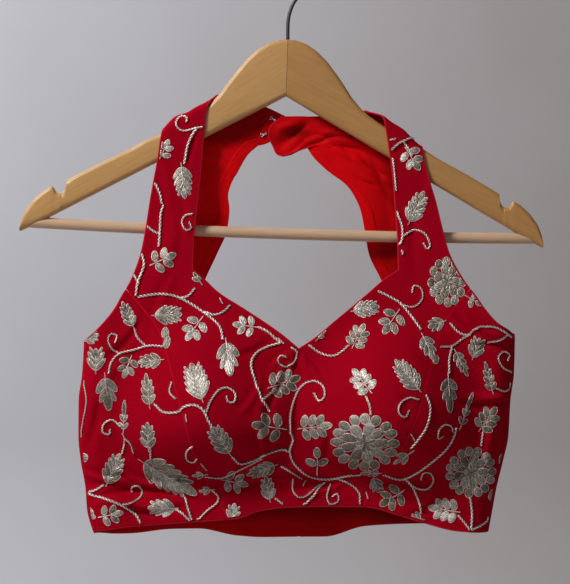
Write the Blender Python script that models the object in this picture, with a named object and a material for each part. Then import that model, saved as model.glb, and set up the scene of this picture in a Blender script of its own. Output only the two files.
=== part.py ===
# Sleeveless fitted blouse with a keyhole back, hung on a wooden hanger.
#
# Frame: metres, +Z up, +X to the right as the front is seen, the front faces -Y.
# The origin is the inside top of the wire hook, where a rail touches it.
# All sizes below are millimetres and become metres when a mesh is written.
#
# The blouse is a set of thin walls. Every wall lies on one of two surfaces,
# the front one and the back one. Each is worked out from a height z and a girth
# distance q, which starts at the side seam, runs round the rolled side and then
# straight across. The outline tables are heights and widths of the sewn edges.
import math

import bmesh
import bpy
import numpy as np
from mathutils import Matrix

# Cloth
WALL = 1.5              # cloth with its lining
FACING_WALL = 1.0
SEAM_GAP = 0.3          # between two sewn pieces
HALF_GAP = SEAM_GAP / 2
SIDE_ROLL = 20.0        # how far the side rounds in, across the width
SIDE_GIRTH = 24.0       # girth of that rounding for each radian turned
SIDE_Y = -5.0           # depth of the side seams
CENTRE_X = 7.0          # centre front and centre back as the blouse hangs
FACING_WIDTH = 9.0

# Hanger
APEX = (-2.2, -75.0)    # top of the wood, x and z
TILT = math.radians(1.85)
WOOD_THICK = 12.0
WOOD_ROUND = 4.0        # rounding of the arms' long edges
BAR_RADIUS = 4.7
BAR_CLEAR = 0.3
BAR_HALF = 214.0        # half length of the bar
BAR_END_Z = -162.0      # bar axis below the apex, at its ends
BAR_SAG = 3.0
WIRE_RADIUS = 1.5
LOOP_RADIUS = 20.0      # inside the hook's loop
CLOTH_GAP = 0.35        # between the wood and the cloth over it

# Level outline of one wooden arm: distance from the middle, top, underside
ARM_OUTLINE = (
    (0.15, 0.0, -48.1), (6.5, -0.3, -51.6), (15.5, -3.0, -56.6), (25.0, -9.0, -61.8),
    (34.0, -17.5, -66.8), (42.0, -27.5, -71.2), (49.0, -37.0, -75.0), (56.0, -47.5, -78.9),
    (64.5, -57.0, -83.6), (71.0, -62.5, -87.2), (80.0, -68.5, -92.2), (93.0, -76.3, -99.3),
    (106.0, -84.0, -106.5), (118.0, -89.0, -113.1), (131.0, -97.0, -120.3),
    (154.0, -108.7, -133.0), (171.0, -118.0, -142.4), (184.0, -125.3, -149.6),
    (184.3, -129.6, -149.7), (185.4, -133.4, -150.3), (187.6, -136.2, -151.5),
    (190.4, -136.8, -153.0), (193.0, -135.4, -154.5), (194.6, -132.4, -155.4),
    (196.2, -131.0, -156.3), (199.0, -132.2, -157.8),
    (203.0, -134.8, -160.1), (211.0, -142.0, -164.5), (217.5, -150.7, -167.5),
    (221.0, -159.0, -169.3), (222.5, -166.0, -169.6))

# Stem and lead-in of the wire hook, x and z, before its round loop
HOOK_STEM = ((0.0, -74.5), (0.0, -66.0), (0.4, -58.0), (2.2, -50.0), (5.9, -42.0),
             (12.0, -35.4), (17.4, -31.0))
HOOK_LOOP_FROM = -28.0  # degrees round the loop's middle, from +X
HOOK_LOOP_TO = 212.0

# Side seams, from the hem up: height, left x, right x. Above the armholes the
# lines go on as guides, so that the front rounds off evenly towards them.
SIDE_SEAM = (
    (-500.0, -165.0, 166.5), (-473.0, -172.6, 171.5), (-456.0, -173.8, 174.6),
    (-432.0, -177.9, 180.4), (-412.0, -179.8, 184.7), (-381.0, -179.6, 186.6),
    (-358.0, -176.6, 189.6), (-329.0, -175.2, 190.4), (-250.0, -177.0, 192.0),
    (-120.0, -178.0, 193.0))

# Armhole edge of the front with the strap's outer edge: height, left x, right x
ARMHOLE = (
    (-331.0, -174.6, 192.0), (-324.0, -166.0, 187.0), (-315.0, -157.0, 173.5),
    (-304.0, -148.2, 163.6), (-293.0, -142.0, 156.0), (-279.0, -134.0, 145.6),
    (-256.0, -125.9, 133.6), (-235.0, -122.0, 128.0), (-212.0, -118.6, 122.6),
    (-192.0, -115.1, 116.9), (-172.0, -111.6, 112.6), (-148.0, -108.6, 111.2))
ARMHOLE_TOP = {"left": -331.0, "right": -325.0}
SHOULDER_OUTER_Z = -150.0       # where the tables meet the wood, at the strap's edges
SHOULDER_INNER_Z = -124.0

# Strap's inner edge: height, left x, right x
STRAP_INNER = ((-270.2, -82.4, 91.0), (-247.0, -81.8, 90.7), (-223.0, -79.5, 89.1),
               (-200.0, -77.2, 87.6), (-176.0, -74.9, 85.0), (-152.0, -73.0, 81.4),
               (-138.0, -72.0, 79.0), (-124.0, -67.5, 67.0))

# Neckline from the V up to the strap's corner: height, left x, right x
NECKLINE = ((-337.0, CENTRE_X, CENTRE_X), (-326.0, -6.0, 23.0), (-315.0, -21.5, 36.0),
            (-303.0, -40.0, 50.6), (-290.0, -60.4, 66.0), (-279.0, -72.3, 78.6),
            (-270.2, -82.4, 91.0))
NECK_CORNER_Z = -270.2
NECK_POINT_Z = -337.0

# Princess seams from the hem up to the armhole: height, left x, right x
PRINCESS = ((-486.0, -50.0, 58.0), (-466.0, -60.0, 63.0), (-449.0, -70.8, 76.0),
            (-420.0, -81.5, 91.5), (-395.0, -87.6, 103.0), (-371.0, -94.5, 110.4),
            (-349.0, -100.4, 116.6), (-324.0, -109.0, 124.6), (-306.0, -121.5, 135.0),
            (-286.5, -138.3, 151.2))
PRINCESS_TOP_Z = -286.5
PRINCESS_FOOT_Z = {"left": -482.0, "right": -472.0}
SIDE_FOOT_Z = -492.0

# Hems: x, front height, back height
HEM = ((-168.0, -491.6, -493.6), (-150.0, -488.4, -496.4), (-138.0, -486.7, -496.2),
       (-100.0, -483.6, -492.4), (-76.0, -481.9, -492.0), (-46.0, -479.6, -498.0),
       (-24.0, -472.6, -499.4), (0.0, -469.6, -499.2), (30.0, -469.2, -499.0),
       (62.0, -469.6, -490.0), (92.0, -477.0, -488.0), (112.0, -482.8, -487.6),
       (140.0, -489.6, -487.9), (168.0, -491.8, -490.4))

# Edge of the keyhole, from its foot up to the neck ends: height, left x, right x
KEYHOLE = ((-415.0, CENTRE_X, CENTRE_X), (-412.4, -14.0, 29.0), (-406.0, -34.0, 48.0),
           (-394.0, -55.0, 66.0), (-378.0, -71.0, 81.0), (-357.0, -83.0, 91.0),
           (-335.0, -87.5, 94.4), (-313.0, -85.9, 91.4), (-296.0, -80.8, 86.0),
           (-278.0, -73.5, 78.0), (-256.0, -63.0, 67.6), (-236.0, -54.6, 64.0),
           (-219.0, -52.6, 60.4), (-207.0, -53.8, 55.0), (-198.0, -51.6, 48.6),
           (-185.0, -44.6, 31.6), (-172.0, -36.8, 18.6), (-164.0, -28.0, 14.0))
KEYHOLE_FOOT_Z = -415.0
KEYHOLE_HEAD_Z = -164.0

# Neck ends at the centre back: height, left x, right x
NECK_END = ((-164.0, -28.0, 14.0), (-163.0, -23.0, -5.0), (-160.5, -17.6, -11.6),
            (-157.0, -15.0, -14.6), (-152.0, -13.0, -18.6), (-139.6, -3.6, -7.0))
NECK_END_TOP = -139.6
NECK_BOW = {"left": 6.0, "right": -1.0}     # how far the free neck edge bows up
NECK_ZONE = (-200.0, 30.0)      # the neck ends are above this height, over this run
BACK_SET_IN = 2.0       # the back's armhole edge lies this far behind the front's
# The lower corner of the right neck end droops into a flap below the keyhole's head
NECK_FLAP = {"x": 18.0, "run": 24.0, "z": -147.0, "depth": 14.0, "drop": 11.0}
FACING_FROM = 5.0       # the right facing starts this far below the keyhole's head
FACING_TOP = {"left": NECK_END_TOP - 3.0, "right": KEYHOLE_HEAD_Z - FACING_FROM + 0.5}
BACK_NECK_X = {"left": -68.0, "right": 70.0}    # where the neck edge leaves the arm
NECK_LEAVES = 12.0      # over this width the neck edge comes off the top of the wood
LAP_LIFT = 3.4          # the right neck end lies this far in front of the left one
LAP_FROM_X = 18.0
LAP_RUN = 22.0

# Hooks with their eyes, on the inside of the back: name, x, z, width, height
FASTENINGS = (("neck_hook_upper", -15.0, -141.8, 5.6, 3.0),
              ("neck_hook_lower", -22.7, -155.0, 5.6, 3.0),
              ("band_hook_upper", CENTRE_X, -423.0, 9.0, 4.0),
              ("band_hook_middle", CENTRE_X, -441.0, 9.0, 4.0),
              ("band_hook_lower", CENTRE_X, -459.0, 9.0, 4.0))
FASTENING_DEPTH = 0.9

# Depth of the outer surfaces away from the rolled sides: height, front y, back y
DEPTH = ((-505.0, -27.0, 18.0), (-478.0, -26.0, 17.5), (-455.0, -24.5, 17.0),
         (-430.0, -28.0, 16.6), (-400.0, -30.0, 16.4), (-337.0, -29.0, 15.6),
         (-300.0, -24.0, 14.4), (-270.0, -18.5, 13.0), (-240.0, -13.6, 11.6),
         (-205.0, -10.0, 9.8), (-175.0, -8.3, 8.4), (-120.0, -7.85, 7.85))
FOLD_Y = 6.0 + CLOTH_GAP + WALL     # outer face of the cloth beside the wood

# Cups: middle x and z, half width, drop below, rise above, how far they stand out
CUPS = (
    {"x": -70.5, "z": -392.0, "half_width": 76.0, "below": 56.0, "above": 92.0, "out": 35.0},
    {"x": 84.5, "z": -391.0, "half_width": 77.0, "below": 57.0, "above": 92.0, "out": 37.0})
# Cloth bridging the cups at the centre
BRIDGE = {"x": CENTRE_X, "z": -388.0, "half_width": 34.0, "half_height": 62.0, "out": 11.0}

# Largest folds: surface, x, z, direction in degrees, length, width, how far out
FOLDS = (
    ("front", -145.0, -452.0, -4.0, 62.0, 7.0, -3.6),
    ("front", -148.0, -464.0, -8.0, 54.0, 9.0, 3.4),
    ("front", 7.0, -452.0, 2.0, 70.0, 8.0, -3.6),
    ("front", 7.0, -362.0, 82.0, 60.0, 6.0, -2.6),
    ("front", 168.0, -330.0, -28.0, 46.0, 7.0, -3.2),
    ("front", 160.0, -455.0, 30.0, 60.0, 9.0, 3.0),
    ("front", 128.0, -462.0, 62.0, 52.0, 8.0, -2.8),
    ("front", -104.0, -262.0, 66.0, 70.0, 9.0, 1.6),
    ("back", -118.0, -392.0, 58.0, 120.0, 13.0, 3.2),
    ("back", 124.0, -388.0, -60.0, 128.0, 14.0, 3.4),
    ("back", -146.0, -455.0, -10.0, 70.0, 9.0, -3.0),
    ("back", 140.0, -462.0, 14.0, 74.0, 10.0, -2.8),
    ("back", 62.0, -440.0, 24.0, 70.0, 12.0, 2.0),
    ("back", -92.0, -290.0, 70.0, 90.0, 11.0, -2.2),
    ("back", 98.0, -284.0, -66.0, 94.0, 12.0, -2.4))

# Rows of the front centre and of the back: outer height, inner height, rows to the next
CENTRE_ROWS = ((-252.0, NECK_CORNER_Z, 4), (PRINCESS_TOP_Z, -300.0, 4),
               (-322.0, NECK_POINT_Z, 14))
BACK_ROWS = {side: ((-262.0, -256.0, 4), (ARMHOLE_TOP[side], -318.0, 9),
                    (-446.0, KEYHOLE_FOOT_Z, 4), (-498.0, -499.0, 0))
             for side in ("left", "right")}
WRAP_ROWS = 7           # rows close together where the cloth turns over the wood
WRAP_DROP = 14.0
HEAD_DROP = 26.0        # from the shoulder down to the row of the keyhole's head
NECK_DROP = 10.0        # from the neck end's top down to the first row below the wrap
CROWD = (0.24, 0.72)    # shares of the back's columns outside and past the neck's leave

# Where the cloth stands up a little as it turns over the wood
SHOULDER_LIFTS = ({"x": -82.0, "half_width": 22.0, "height": 4.2},
                  {"x": -99.0, "half_width": 14.0, "height": 5.4},
                  {"x": 80.0, "half_width": 20.0, "height": 6.6},
                  {"x": 97.0, "half_width": 14.0, "height": 5.2})


def smooth(table, at, column):
    # Monotone cubic curve through a table whose first column rises with no steps back.
    rows = sorted((row[0], row[column]) for row in table)
    key = np.array([row[0] for row in rows])
    value = np.array([row[1] for row in rows])
    at = np.clip(np.asarray(at, float), key[0], key[-1])
    step = np.diff(key)
    slope = np.diff(value) / step
    tangent = np.empty_like(value)
    tangent[0] = slope[0]
    tangent[-1] = slope[-1]
    before = slope[:-1]
    after = slope[1:]
    level = before * after <= 0
    total = np.where(level, 1.0, before + after)
    tangent[1:-1] = np.where(level, 0.0, 2 * before * after / total)
    cell = np.clip(np.searchsorted(key, at) - 1, 0, len(step) - 1)
    width = step[cell]
    t = (at - key[cell]) / width
    return ((2 * t ** 3 - 3 * t ** 2 + 1) * value[cell]
            + (t ** 3 - 2 * t ** 2 + t) * width * tangent[cell]
            + (3 * t ** 2 - 2 * t ** 3) * value[cell + 1]
            + (t ** 3 - t ** 2) * width * tangent[cell + 1])


def ease(t):
    t = np.clip(t, 0.0, 1.0)
    return t * t * (3 - 2 * t)


def column(side):
    return 1 if side == "left" else 2


def tilted(x, z):
    # A point of the level hanger, measured from its apex, placed in the part's frame.
    return (APEX[0] + x * math.cos(TILT) + z * math.sin(TILT),
            APEX[1] - x * math.sin(TILT) + z * math.cos(TILT))


def wood_top():
    left = [tilted(-x, top) for x, top, _ in reversed(ARM_OUTLINE)]
    right = [tilted(x, top) for x, top, _ in ARM_OUTLINE]
    return np.array(left + right)


WOOD_TOP = wood_top()


def wood_stretch(x, span=4.0, most=1.75):
    # How much longer an upright cut through the sloping wood is than a square one.
    rise = (np.interp(x + span, WOOD_TOP[:, 0], WOOD_TOP[:, 1])
            - np.interp(x - span, WOOD_TOP[:, 0], WOOD_TOP[:, 1]))
    return np.minimum(np.sqrt(1 + (rise / (2 * span)) ** 2), most)


def fold_top(x):
    # Height of the cloth's outer face over the wood, and the stretch of the wood there.
    x = np.asarray(x, float)
    z = np.interp(x, WOOD_TOP[:, 0], WOOD_TOP[:, 1])
    stretch = wood_stretch(x)
    top = z + (CLOTH_GAP + WALL) * stretch
    for lift in SHOULDER_LIFTS:
        away = np.abs(x - lift["x"]) / lift["half_width"]
        top = top + lift["height"] * (1 - ease(away))
    return top, stretch


def girth(x, z, side):
    # Girth distance q from the side seam to the place x at height z.
    inward = np.abs(x - smooth(SIDE_SEAM, z, column(side)))
    turn = np.arccos(np.clip(1 - inward / SIDE_ROLL, 0.0, 1.0))
    return np.where(inward < SIDE_ROLL, SIDE_GIRTH * turn,
                    SIDE_GIRTH * math.pi / 2 + inward - SIDE_ROLL)


def across(q, z, side):
    # The place x, and how far the side has rolled over, at girth distance q.
    turn = np.clip(q / SIDE_GIRTH, 0.0, math.pi / 2)
    inward = SIDE_ROLL * (1 - np.cos(turn)) + np.maximum(q - SIDE_GIRTH * math.pi / 2, 0.0)
    sign = 1.0 if side == "left" else -1.0
    return smooth(SIDE_SEAM, z, column(side)) + sign * inward, np.sin(turn)


def cup_out(x, z):
    # Full below and flatter above: out * (1 - r^2)^power, r from 0 in the middle to 1.
    out = np.zeros(np.broadcast(x, z).shape)
    for cup in CUPS:
        dx = (x - cup["x"]) / cup["half_width"]
        rise = z - cup["z"]
        dz = np.where(rise > 0, rise / cup["above"], rise / cup["below"])
        r = np.sqrt(dx ** 2 + dz ** 2)
        power = 1.0 + 0.9 * ease(0.5 + 0.5 * dz / np.maximum(r, 1e-6))
        out = out + cup["out"] * np.clip(1 - r ** 2, 0.0, None) ** power
    dx = (x - BRIDGE["x"]) / BRIDGE["half_width"]
    dz = (z - BRIDGE["z"]) / BRIDGE["half_height"]
    return out + BRIDGE["out"] * np.exp(-dx ** 2 - dz ** 2)


def folds_out(surface, x, z):
    # Each fold is a soft ridge or trough: out * exp(-(across/width)^2 - (along/half)^2).
    out = np.zeros(np.broadcast(x, z).shape)
    for where, fx, fz, angle, length, width, height in FOLDS:
        if where != surface:
            continue
        turn = math.radians(angle)
        along = (x - fx) * math.cos(turn) + (z - fz) * math.sin(turn)
        beside = (z - fz) * math.cos(turn) - (x - fx) * math.sin(turn)
        out = out + height * np.exp(-(beside / width) ** 2 - (2 * along / length) ** 2)
    return out


def neck_flap(x, z):
    # How far the lower corner of the right neck end hangs down.
    flap = NECK_FLAP
    return (flap["drop"] * ease((flap["x"] - x) / flap["run"])
            * ease((flap["z"] - z) / flap["depth"]))


def surface_point(surface, side, q, z):
    # Outer surface of the front or the back at girth distance q and height z.
    x, roll = across(q, z, side)
    droop = 0.0
    if surface == "front":
        out = -smooth(DEPTH, z, 1) + cup_out(x, z) + folds_out(surface, x, z)
        y = SIDE_Y + (-out - SIDE_Y) * roll
        facing = -1.0
    else:
        out = smooth(DEPTH, z, 2) + folds_out(surface, x, z)
        y = SIDE_Y + (out - SIDE_Y) * roll
        facing = 1.0
        if side == "right":
            at_neck = ease((z - NECK_ZONE[0]) / NECK_ZONE[1])
            y = y - LAP_LIFT * ease((LAP_FROM_X - x) / LAP_RUN) * at_neck
            droop = neck_flap(x, z) * at_neck
    # Over the wood the cloth turns back on a rounded corner towards the shoulder seam.
    top, stretch = fold_top(x)
    corner = WOOD_ROUND + CLOTH_GAP + WALL
    flat = FOLD_Y - corner
    quarter = corner * math.pi / 2
    tall = corner * stretch
    run = flat + quarter + (top - tall - z) / stretch
    turn = np.clip((run - flat) / corner, 0.0, math.pi / 2)
    over = run < flat + quarter
    fold_y = facing * (np.clip(run, 0.0, flat) + corner * np.sin(turn))
    fold_z = top - tall * (1 - np.cos(turn))
    return np.stack([x, np.where(over, fold_y, y), np.where(over, fold_z, z - droop)],
                    axis=-1)


def seam_z(x):
    # The unrolled height at which the cloth reaches the shoulder seam.
    top, stretch = fold_top(x)
    corner = WOOD_ROUND + CLOTH_GAP + WALL
    run = FOLD_Y - corner + corner * math.pi / 2 - HALF_GAP
    return top - corner * stretch + run * stretch


def surface_normal(surface, side, q, z):
    reach = 0.4
    down = (surface_point(surface, side, q, z + reach)
            - surface_point(surface, side, q, z - reach))
    round_ = (surface_point(surface, side, q + reach, z)
              - surface_point(surface, side, q - reach, z))
    normal = np.cross(round_, down)
    flip = 1.0 if (surface == "front") == (side == "left") else -1.0
    return flip * normal / np.linalg.norm(normal, axis=-1, keepdims=True)


def spread(knots):
    # Rows between knots of (height at the outer edge, height at the inner edge, rows on).
    outer = [knots[0][0]]
    inner = [knots[0][1]]
    for (o0, i0, steps), (o1, i1, _) in zip(knots, knots[1:]):
        for k in range(1, steps + 1):
            outer.append(o0 + (o1 - o0) * k / steps)
            inner.append(i0 + (i1 - i0) * k / steps)
    return np.array(outer), np.array(inner)


def net(outer_q, outer_z, inner_q, inner_z, t, top, hem, side, held=0, fade=12):
    # Grid of (q, z) between two edges. Its first rows follow the top line, its last the hem.
    q = outer_q[:, None] * (1 - t) + inner_q[:, None] * t
    z = outer_z[:, None] * (1 - t) + inner_z[:, None] * t
    rows = np.arange(len(outer_z))[:, None]
    x_top = across(q[:1], z[:1], side)[0]
    x_hem = across(q[-1:], z[-1:], side)[0]
    z = z + (top(x_top) - z[:1]) * (1 - ease((rows - held) / fade))
    z = z + (hem(x_hem) - z[-1:]) * ease((rows - rows[-1] + fade) / fade)
    return q, z


def front_hem(x):
    return smooth(HEM, x, 1)


def back_hem(x):
    return smooth(HEM, x, 2)


def armhole_z(side):
    # Height of the armhole edge at x, the armhole table read the other way round.
    turned = [(row[column(side)], row[0]) for row in ARMHOLE]
    return lambda x: np.minimum(smooth(turned, x, 1), PRINCESS_TOP_Z - HALF_GAP)


def centre_half(side, columns=11):
    # One half of the front centre panel: its strap, and the cloth down to the hem.
    col = column(side)
    outer_x = smooth(ARMHOLE, SHOULDER_OUTER_Z, col)
    inner_x = smooth(STRAP_INNER, SHOULDER_INNER_Z, col)
    start = (float(seam_z(outer_x)), float(seam_z(inner_x)))
    outer_z, inner_z = spread([
        (start[0], start[1], WRAP_ROWS),
        (start[0] - WRAP_DROP, start[1] - WRAP_DROP, 8),
        *CENTRE_ROWS,
        (PRINCESS_FOOT_Z[side], float(front_hem(CENTRE_X)), 0)])
    armhole = smooth(ARMHOLE, outer_z, col)
    princess = smooth(PRINCESS, outer_z, col)
    on_seam = outer_z <= PRINCESS_TOP_Z
    outer_x = np.where(on_seam, princess, armhole)
    strap = smooth(STRAP_INNER, inner_z, col)
    neck = smooth(NECKLINE, inner_z, col)
    inner_x = np.where(inner_z >= NECK_CORNER_Z, strap, neck)
    outer_q = girth(outer_x, outer_z, side) + HALF_GAP * on_seam
    inner_q = girth(inner_x, inner_z, side)
    t = np.linspace(0, 1, columns + 1)[None, :]
    point_row = int(np.argmin(np.abs(inner_z - NECK_POINT_Z)))
    return net(outer_q, outer_z, inner_q, inner_z, t, seam_z, front_hem, side,
               WRAP_ROWS), point_row


def side_front(side, columns=9, rows=17):
    # Side front panel, from the armhole down to the hem.
    col = column(side)
    outer_z, inner_z = spread([(ARMHOLE_TOP[side], PRINCESS_TOP_Z, rows),
                               (SIDE_FOOT_Z, PRINCESS_FOOT_Z[side], 0)])
    outer_q = np.full(rows + 1, HALF_GAP)
    inner_q = girth(smooth(PRINCESS, inner_z, col), inner_z, side) - HALF_GAP
    t = np.linspace(0, 1, columns + 1)[None, :] ** 1.2
    return net(outer_q, outer_z, inner_q, inner_z, t, armhole_z(side), front_hem, side)


def back_rows(side):
    # Edges of a back piece row by row: outer height and q, inner height and q.
    col = column(side)
    outer_top = float(seam_z(smooth(ARMHOLE, SHOULDER_OUTER_Z, col)))
    outer_z, inner_z = spread([
        (outer_top, NECK_END_TOP, WRAP_ROWS),
        (outer_top - WRAP_DROP, NECK_END_TOP - NECK_DROP, 4),
        (outer_top - HEAD_DROP, KEYHOLE_HEAD_Z, 1),
        (outer_top - HEAD_DROP - FACING_FROM, KEYHOLE_HEAD_Z - FACING_FROM, 6),
        *BACK_ROWS[side]])
    sign = 1.0 if side == "left" else -1.0
    armhole = smooth(ARMHOLE, outer_z, col) + BACK_SET_IN * sign
    outer_q = girth(armhole, outer_z, side)
    outer_q = np.where(outer_z > ARMHOLE_TOP[side] + 1.0, outer_q, HALF_GAP)
    outer_q = np.maximum(outer_q, HALF_GAP)
    ends = smooth(NECK_END, inner_z, col)
    hole = smooth(KEYHOLE, inner_z, col)
    inner_x = np.where(inner_z >= KEYHOLE_HEAD_Z, ends, hole)
    inner_q = girth(inner_x, inner_z, side)
    inner_q = np.where(inner_z <= KEYHOLE_FOOT_Z, inner_q - HALF_GAP, inner_q)
    return outer_z, outer_q, inner_z, inner_q


def back_top(side):
    # Top line of a back piece: the shoulder seam, then the free neck edge to its end.
    leave = BACK_NECK_X[side]
    end = float(smooth(NECK_END, NECK_END_TOP, column(side)))

    def line(x):
        t = np.clip((x - leave) / (end - leave), 0.0, 1.0)
        from_z = float(fold_top(leave)[0])
        free = from_z + (NECK_END_TOP - from_z) * t + NECK_BOW[side] * np.sin(np.pi * t)
        left_arm = ease((abs(leave) - np.abs(x)) / NECK_LEAVES)
        return seam_z(x) * (1 - left_arm) + free * left_arm
    return line


def back_net(side, columns=13):
    # The last two columns are the facing's strip along the keyhole. In the top rows
    # the columns crowd where the neck edge comes off the wood.
    outer_z, outer_q, inner_z, inner_q = back_rows(side)
    strip = FACING_WIDTH / (inner_q - outer_q)[:, None]
    even = np.linspace(0, 1, columns + 1)[None, :]
    leave = BACK_NECK_X[side]
    come_off = leave - math.copysign(1.5 * NECK_LEAVES, leave)
    zone = [float((girth(x, outer_z[0], side) - outer_q[0]) / (inner_q[0] - outer_q[0]))
            for x in (leave, come_off)]
    crowded = np.interp(even, (0.0, *CROWD, 1.0), (0.0, *zone, 1.0))
    rows = np.arange(len(outer_z))[:, None]
    share = 1 - ease((rows - WRAP_ROWS) / 10)
    t = (crowded * share + even * (1 - share)) * (1 - strip)
    t = np.concatenate([t, 1 - strip / 2, np.ones_like(strip)], axis=1)
    q, z = net(outer_q, outer_z, inner_q, inner_z, t, back_top(side), back_hem, side,
               WRAP_ROWS)
    return q, z, inner_z


def thick(points, normals, faces, wall):
    # Closes a sheet into a wall: its inner side is its points moved in by the wall.
    count = len(points)
    vertices = np.concatenate([points, points - normals * wall])
    edges = {}
    for face in faces:
        for a, b in zip(face, face[1:] + face[:1]):
            edges[(a, b)] = True
    solid = [list(face) for face in faces]
    solid += [[count + v for v in reversed(face)] for face in faces]
    solid += [[b, a, count + a, count + b] for (a, b) in edges if (b, a) not in edges]
    return vertices, solid


def grid_faces(index, flip):
    # Faces of a grid of vertex numbers, turned so that they look out.
    faces = []
    for i in range(index.shape[0] - 1):
        for j in range(index.shape[1] - 1):
            face = [index[i, j], index[i + 1, j], index[i + 1, j + 1], index[i, j + 1]]
            faces.append([int(v) for v in (reversed(face) if flip else face)])
    return faces


def make_object(name, vertices, faces, material):
    mesh = bpy.data.meshes.new(name)
    mesh.from_pydata([tuple(v / 1000.0) for v in vertices], [], faces)
    mesh.update()
    built = bmesh.new()
    built.from_mesh(mesh)
    bmesh.ops.triangulate(built, faces=[f for f in built.faces if len(f.verts) == 4])
    built.to_mesh(mesh)
    built.free()
    mesh.materials.append(material)
    mesh.shade_smooth()
    mesh.set_sharp_from_angle(angle=math.radians(40))
    item = bpy.data.objects.new(name, mesh)
    bpy.context.scene.collection.objects.link(item)
    return item


def sheet(surface, side, q, z, lift=0.0):
    points = surface_point(surface, side, q, z).reshape(-1, 3)
    normals = surface_normal(surface, side, q, z).reshape(-1, 3)
    return points + normals * lift, normals


def looks_out(surface, side):
    return (surface == "front") == (side == "left")


def add_panel(name, surface, side, q, z, material, wall=WALL, lift=0.0):
    points, normals = sheet(surface, side, q, z, lift)
    index = np.arange(len(points)).reshape(q.shape)
    faces = grid_faces(index, not looks_out(surface, side))
    vertices, solid = thick(points, normals, faces, wall)
    return make_object(name, vertices, solid, material)


def add_front_centre(material):
    (ql, zl), point_row = centre_half("left")
    (qr, zr), _ = centre_half("right")
    left, left_normals = sheet("front", "left", ql, zl)
    right, right_normals = sheet("front", "right", qr, zr)
    left_index = np.arange(len(left)).reshape(ql.shape)
    right_index = np.full(qr.shape, -1)
    shared = np.zeros(qr.shape, bool)
    shared[point_row:, -1] = True
    right_index[~shared] = len(left) + np.arange(int((~shared).sum()))
    right_index[shared] = left_index[shared]
    keep = ~shared.reshape(-1)
    seam = left_index[point_row:, -1]
    both = left_normals[seam] + right_normals[shared.reshape(-1)]
    left_normals[seam] = both / np.linalg.norm(both, axis=1, keepdims=True)
    points = np.concatenate([left, right[keep]])
    normals = np.concatenate([left_normals, right_normals[keep]])
    faces = grid_faces(left_index, False) + grid_faces(right_index, True)
    vertices, solid = thick(points, normals, faces, WALL)
    return make_object("front_centre", vertices, solid, material)


def add_facing(side, material):
    # Strip along the keyhole, on the inside of a back piece. The left one also runs
    # along the neck end.
    q, z, inner_z = back_net(side)
    keep = (inner_z < FACING_TOP[side]) & (inner_z > KEYHOLE_FOOT_Z + 3.0)
    return add_panel("keyhole_facing_" + side, "back", side, q[keep, -3:], z[keep, -3:],
                     material, FACING_WALL, -(WALL + SEAM_GAP))


def rounded_section(half_width, low, high, corner, stretch, steps=4):
    # Points round an upright section with rounded corners, y and z, seen from +X.
    radius = min(corner * stretch, (high - low) / 2 - 0.05)
    points = []
    for cy, cz, first in ((1, 1, 0), (-1, 1, 90), (-1, -1, 180), (1, -1, 270)):
        for k in range(steps):
            angle = math.radians(first + 90 * k / (steps - 1))
            y = cy * (half_width - corner) + corner * math.cos(angle)
            middle = high - radius if cz > 0 else low + radius
            points.append((y, middle + radius * math.sin(angle)))
    return points


def loft(name, rings, material):
    # Closed body through rings of equal numbers of points, with flat end caps.
    count = len(rings[0])
    vertices = np.array([point for ring in rings for point in ring], float)
    faces = []
    for r in range(len(rings) - 1):
        for k in range(count):
            a = r * count + k
            b = r * count + (k + 1) % count
            faces.append([a, b, b + count, a + count])
    faces.append(list(reversed(range(count))))
    faces.append([(len(rings) - 1) * count + k for k in range(count)])
    item = make_object(name, vertices, faces, material)
    built = bmesh.new()
    built.from_mesh(item.data)
    bmesh.ops.recalc_face_normals(built, faces=built.faces)
    built.to_mesh(item.data)
    built.free()
    return item


def add_arm(side, material, tilt, socket):
    sign = -1.0 if side == "left" else 1.0
    rings = []
    for x, top, low in ARM_OUTLINE:
        stretch = float(wood_stretch(tilted(sign * x, top)[0]))
        section = rounded_section(WOOD_THICK / 2, low, top, WOOD_ROUND, stretch)
        rings.append([(sign * x, y, z) for y, z in section])
    arm = loft("hanger_arm_" + side, rings, material)
    arm.parent = tilt
    cut = arm.modifiers.new("bar socket", "BOOLEAN")
    cut.operation = "DIFFERENCE"
    cut.object = socket
    return arm


def bar_rings(radius, half, points=14, stations=15):
    rings = []
    for k in range(stations):
        x = -half + 2 * half * k / (stations - 1)
        middle = BAR_END_Z - BAR_SAG * (1 - (x / BAR_HALF) ** 2)
        rings.append([(x, radius * math.cos(a), middle + radius * math.sin(a))
                      for a in (2 * math.pi * p / points for p in range(points))])
    return rings


def add_bar(material, tilt):
    bar = loft("hanger_bar", bar_rings(BAR_RADIUS, BAR_HALF), material)
    bar.parent = tilt
    socket = loft("bar socket", bar_rings(BAR_RADIUS + BAR_CLEAR, BAR_HALF + BAR_CLEAR),
                  material)
    socket.parent = tilt
    socket.hide_render = True
    socket.display_type = "WIRE"
    return bar, socket


def add_tube(name, points, radius, material, resolution=2):
    curve = bpy.data.curves.new(name, "CURVE")
    curve.dimensions = "3D"
    spline = curve.splines.new("POLY")
    spline.points.add(len(points) - 1)
    for point, (x, y, z) in zip(spline.points, points):
        point.co = (x / 1000.0, y / 1000.0, z / 1000.0, 1.0)
    curve.bevel_depth = radius / 1000.0
    curve.bevel_resolution = resolution
    curve.use_fill_caps = True
    curve.materials.append(material)
    item = bpy.data.objects.new(name, curve)
    bpy.context.scene.collection.objects.link(item)
    return item


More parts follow.
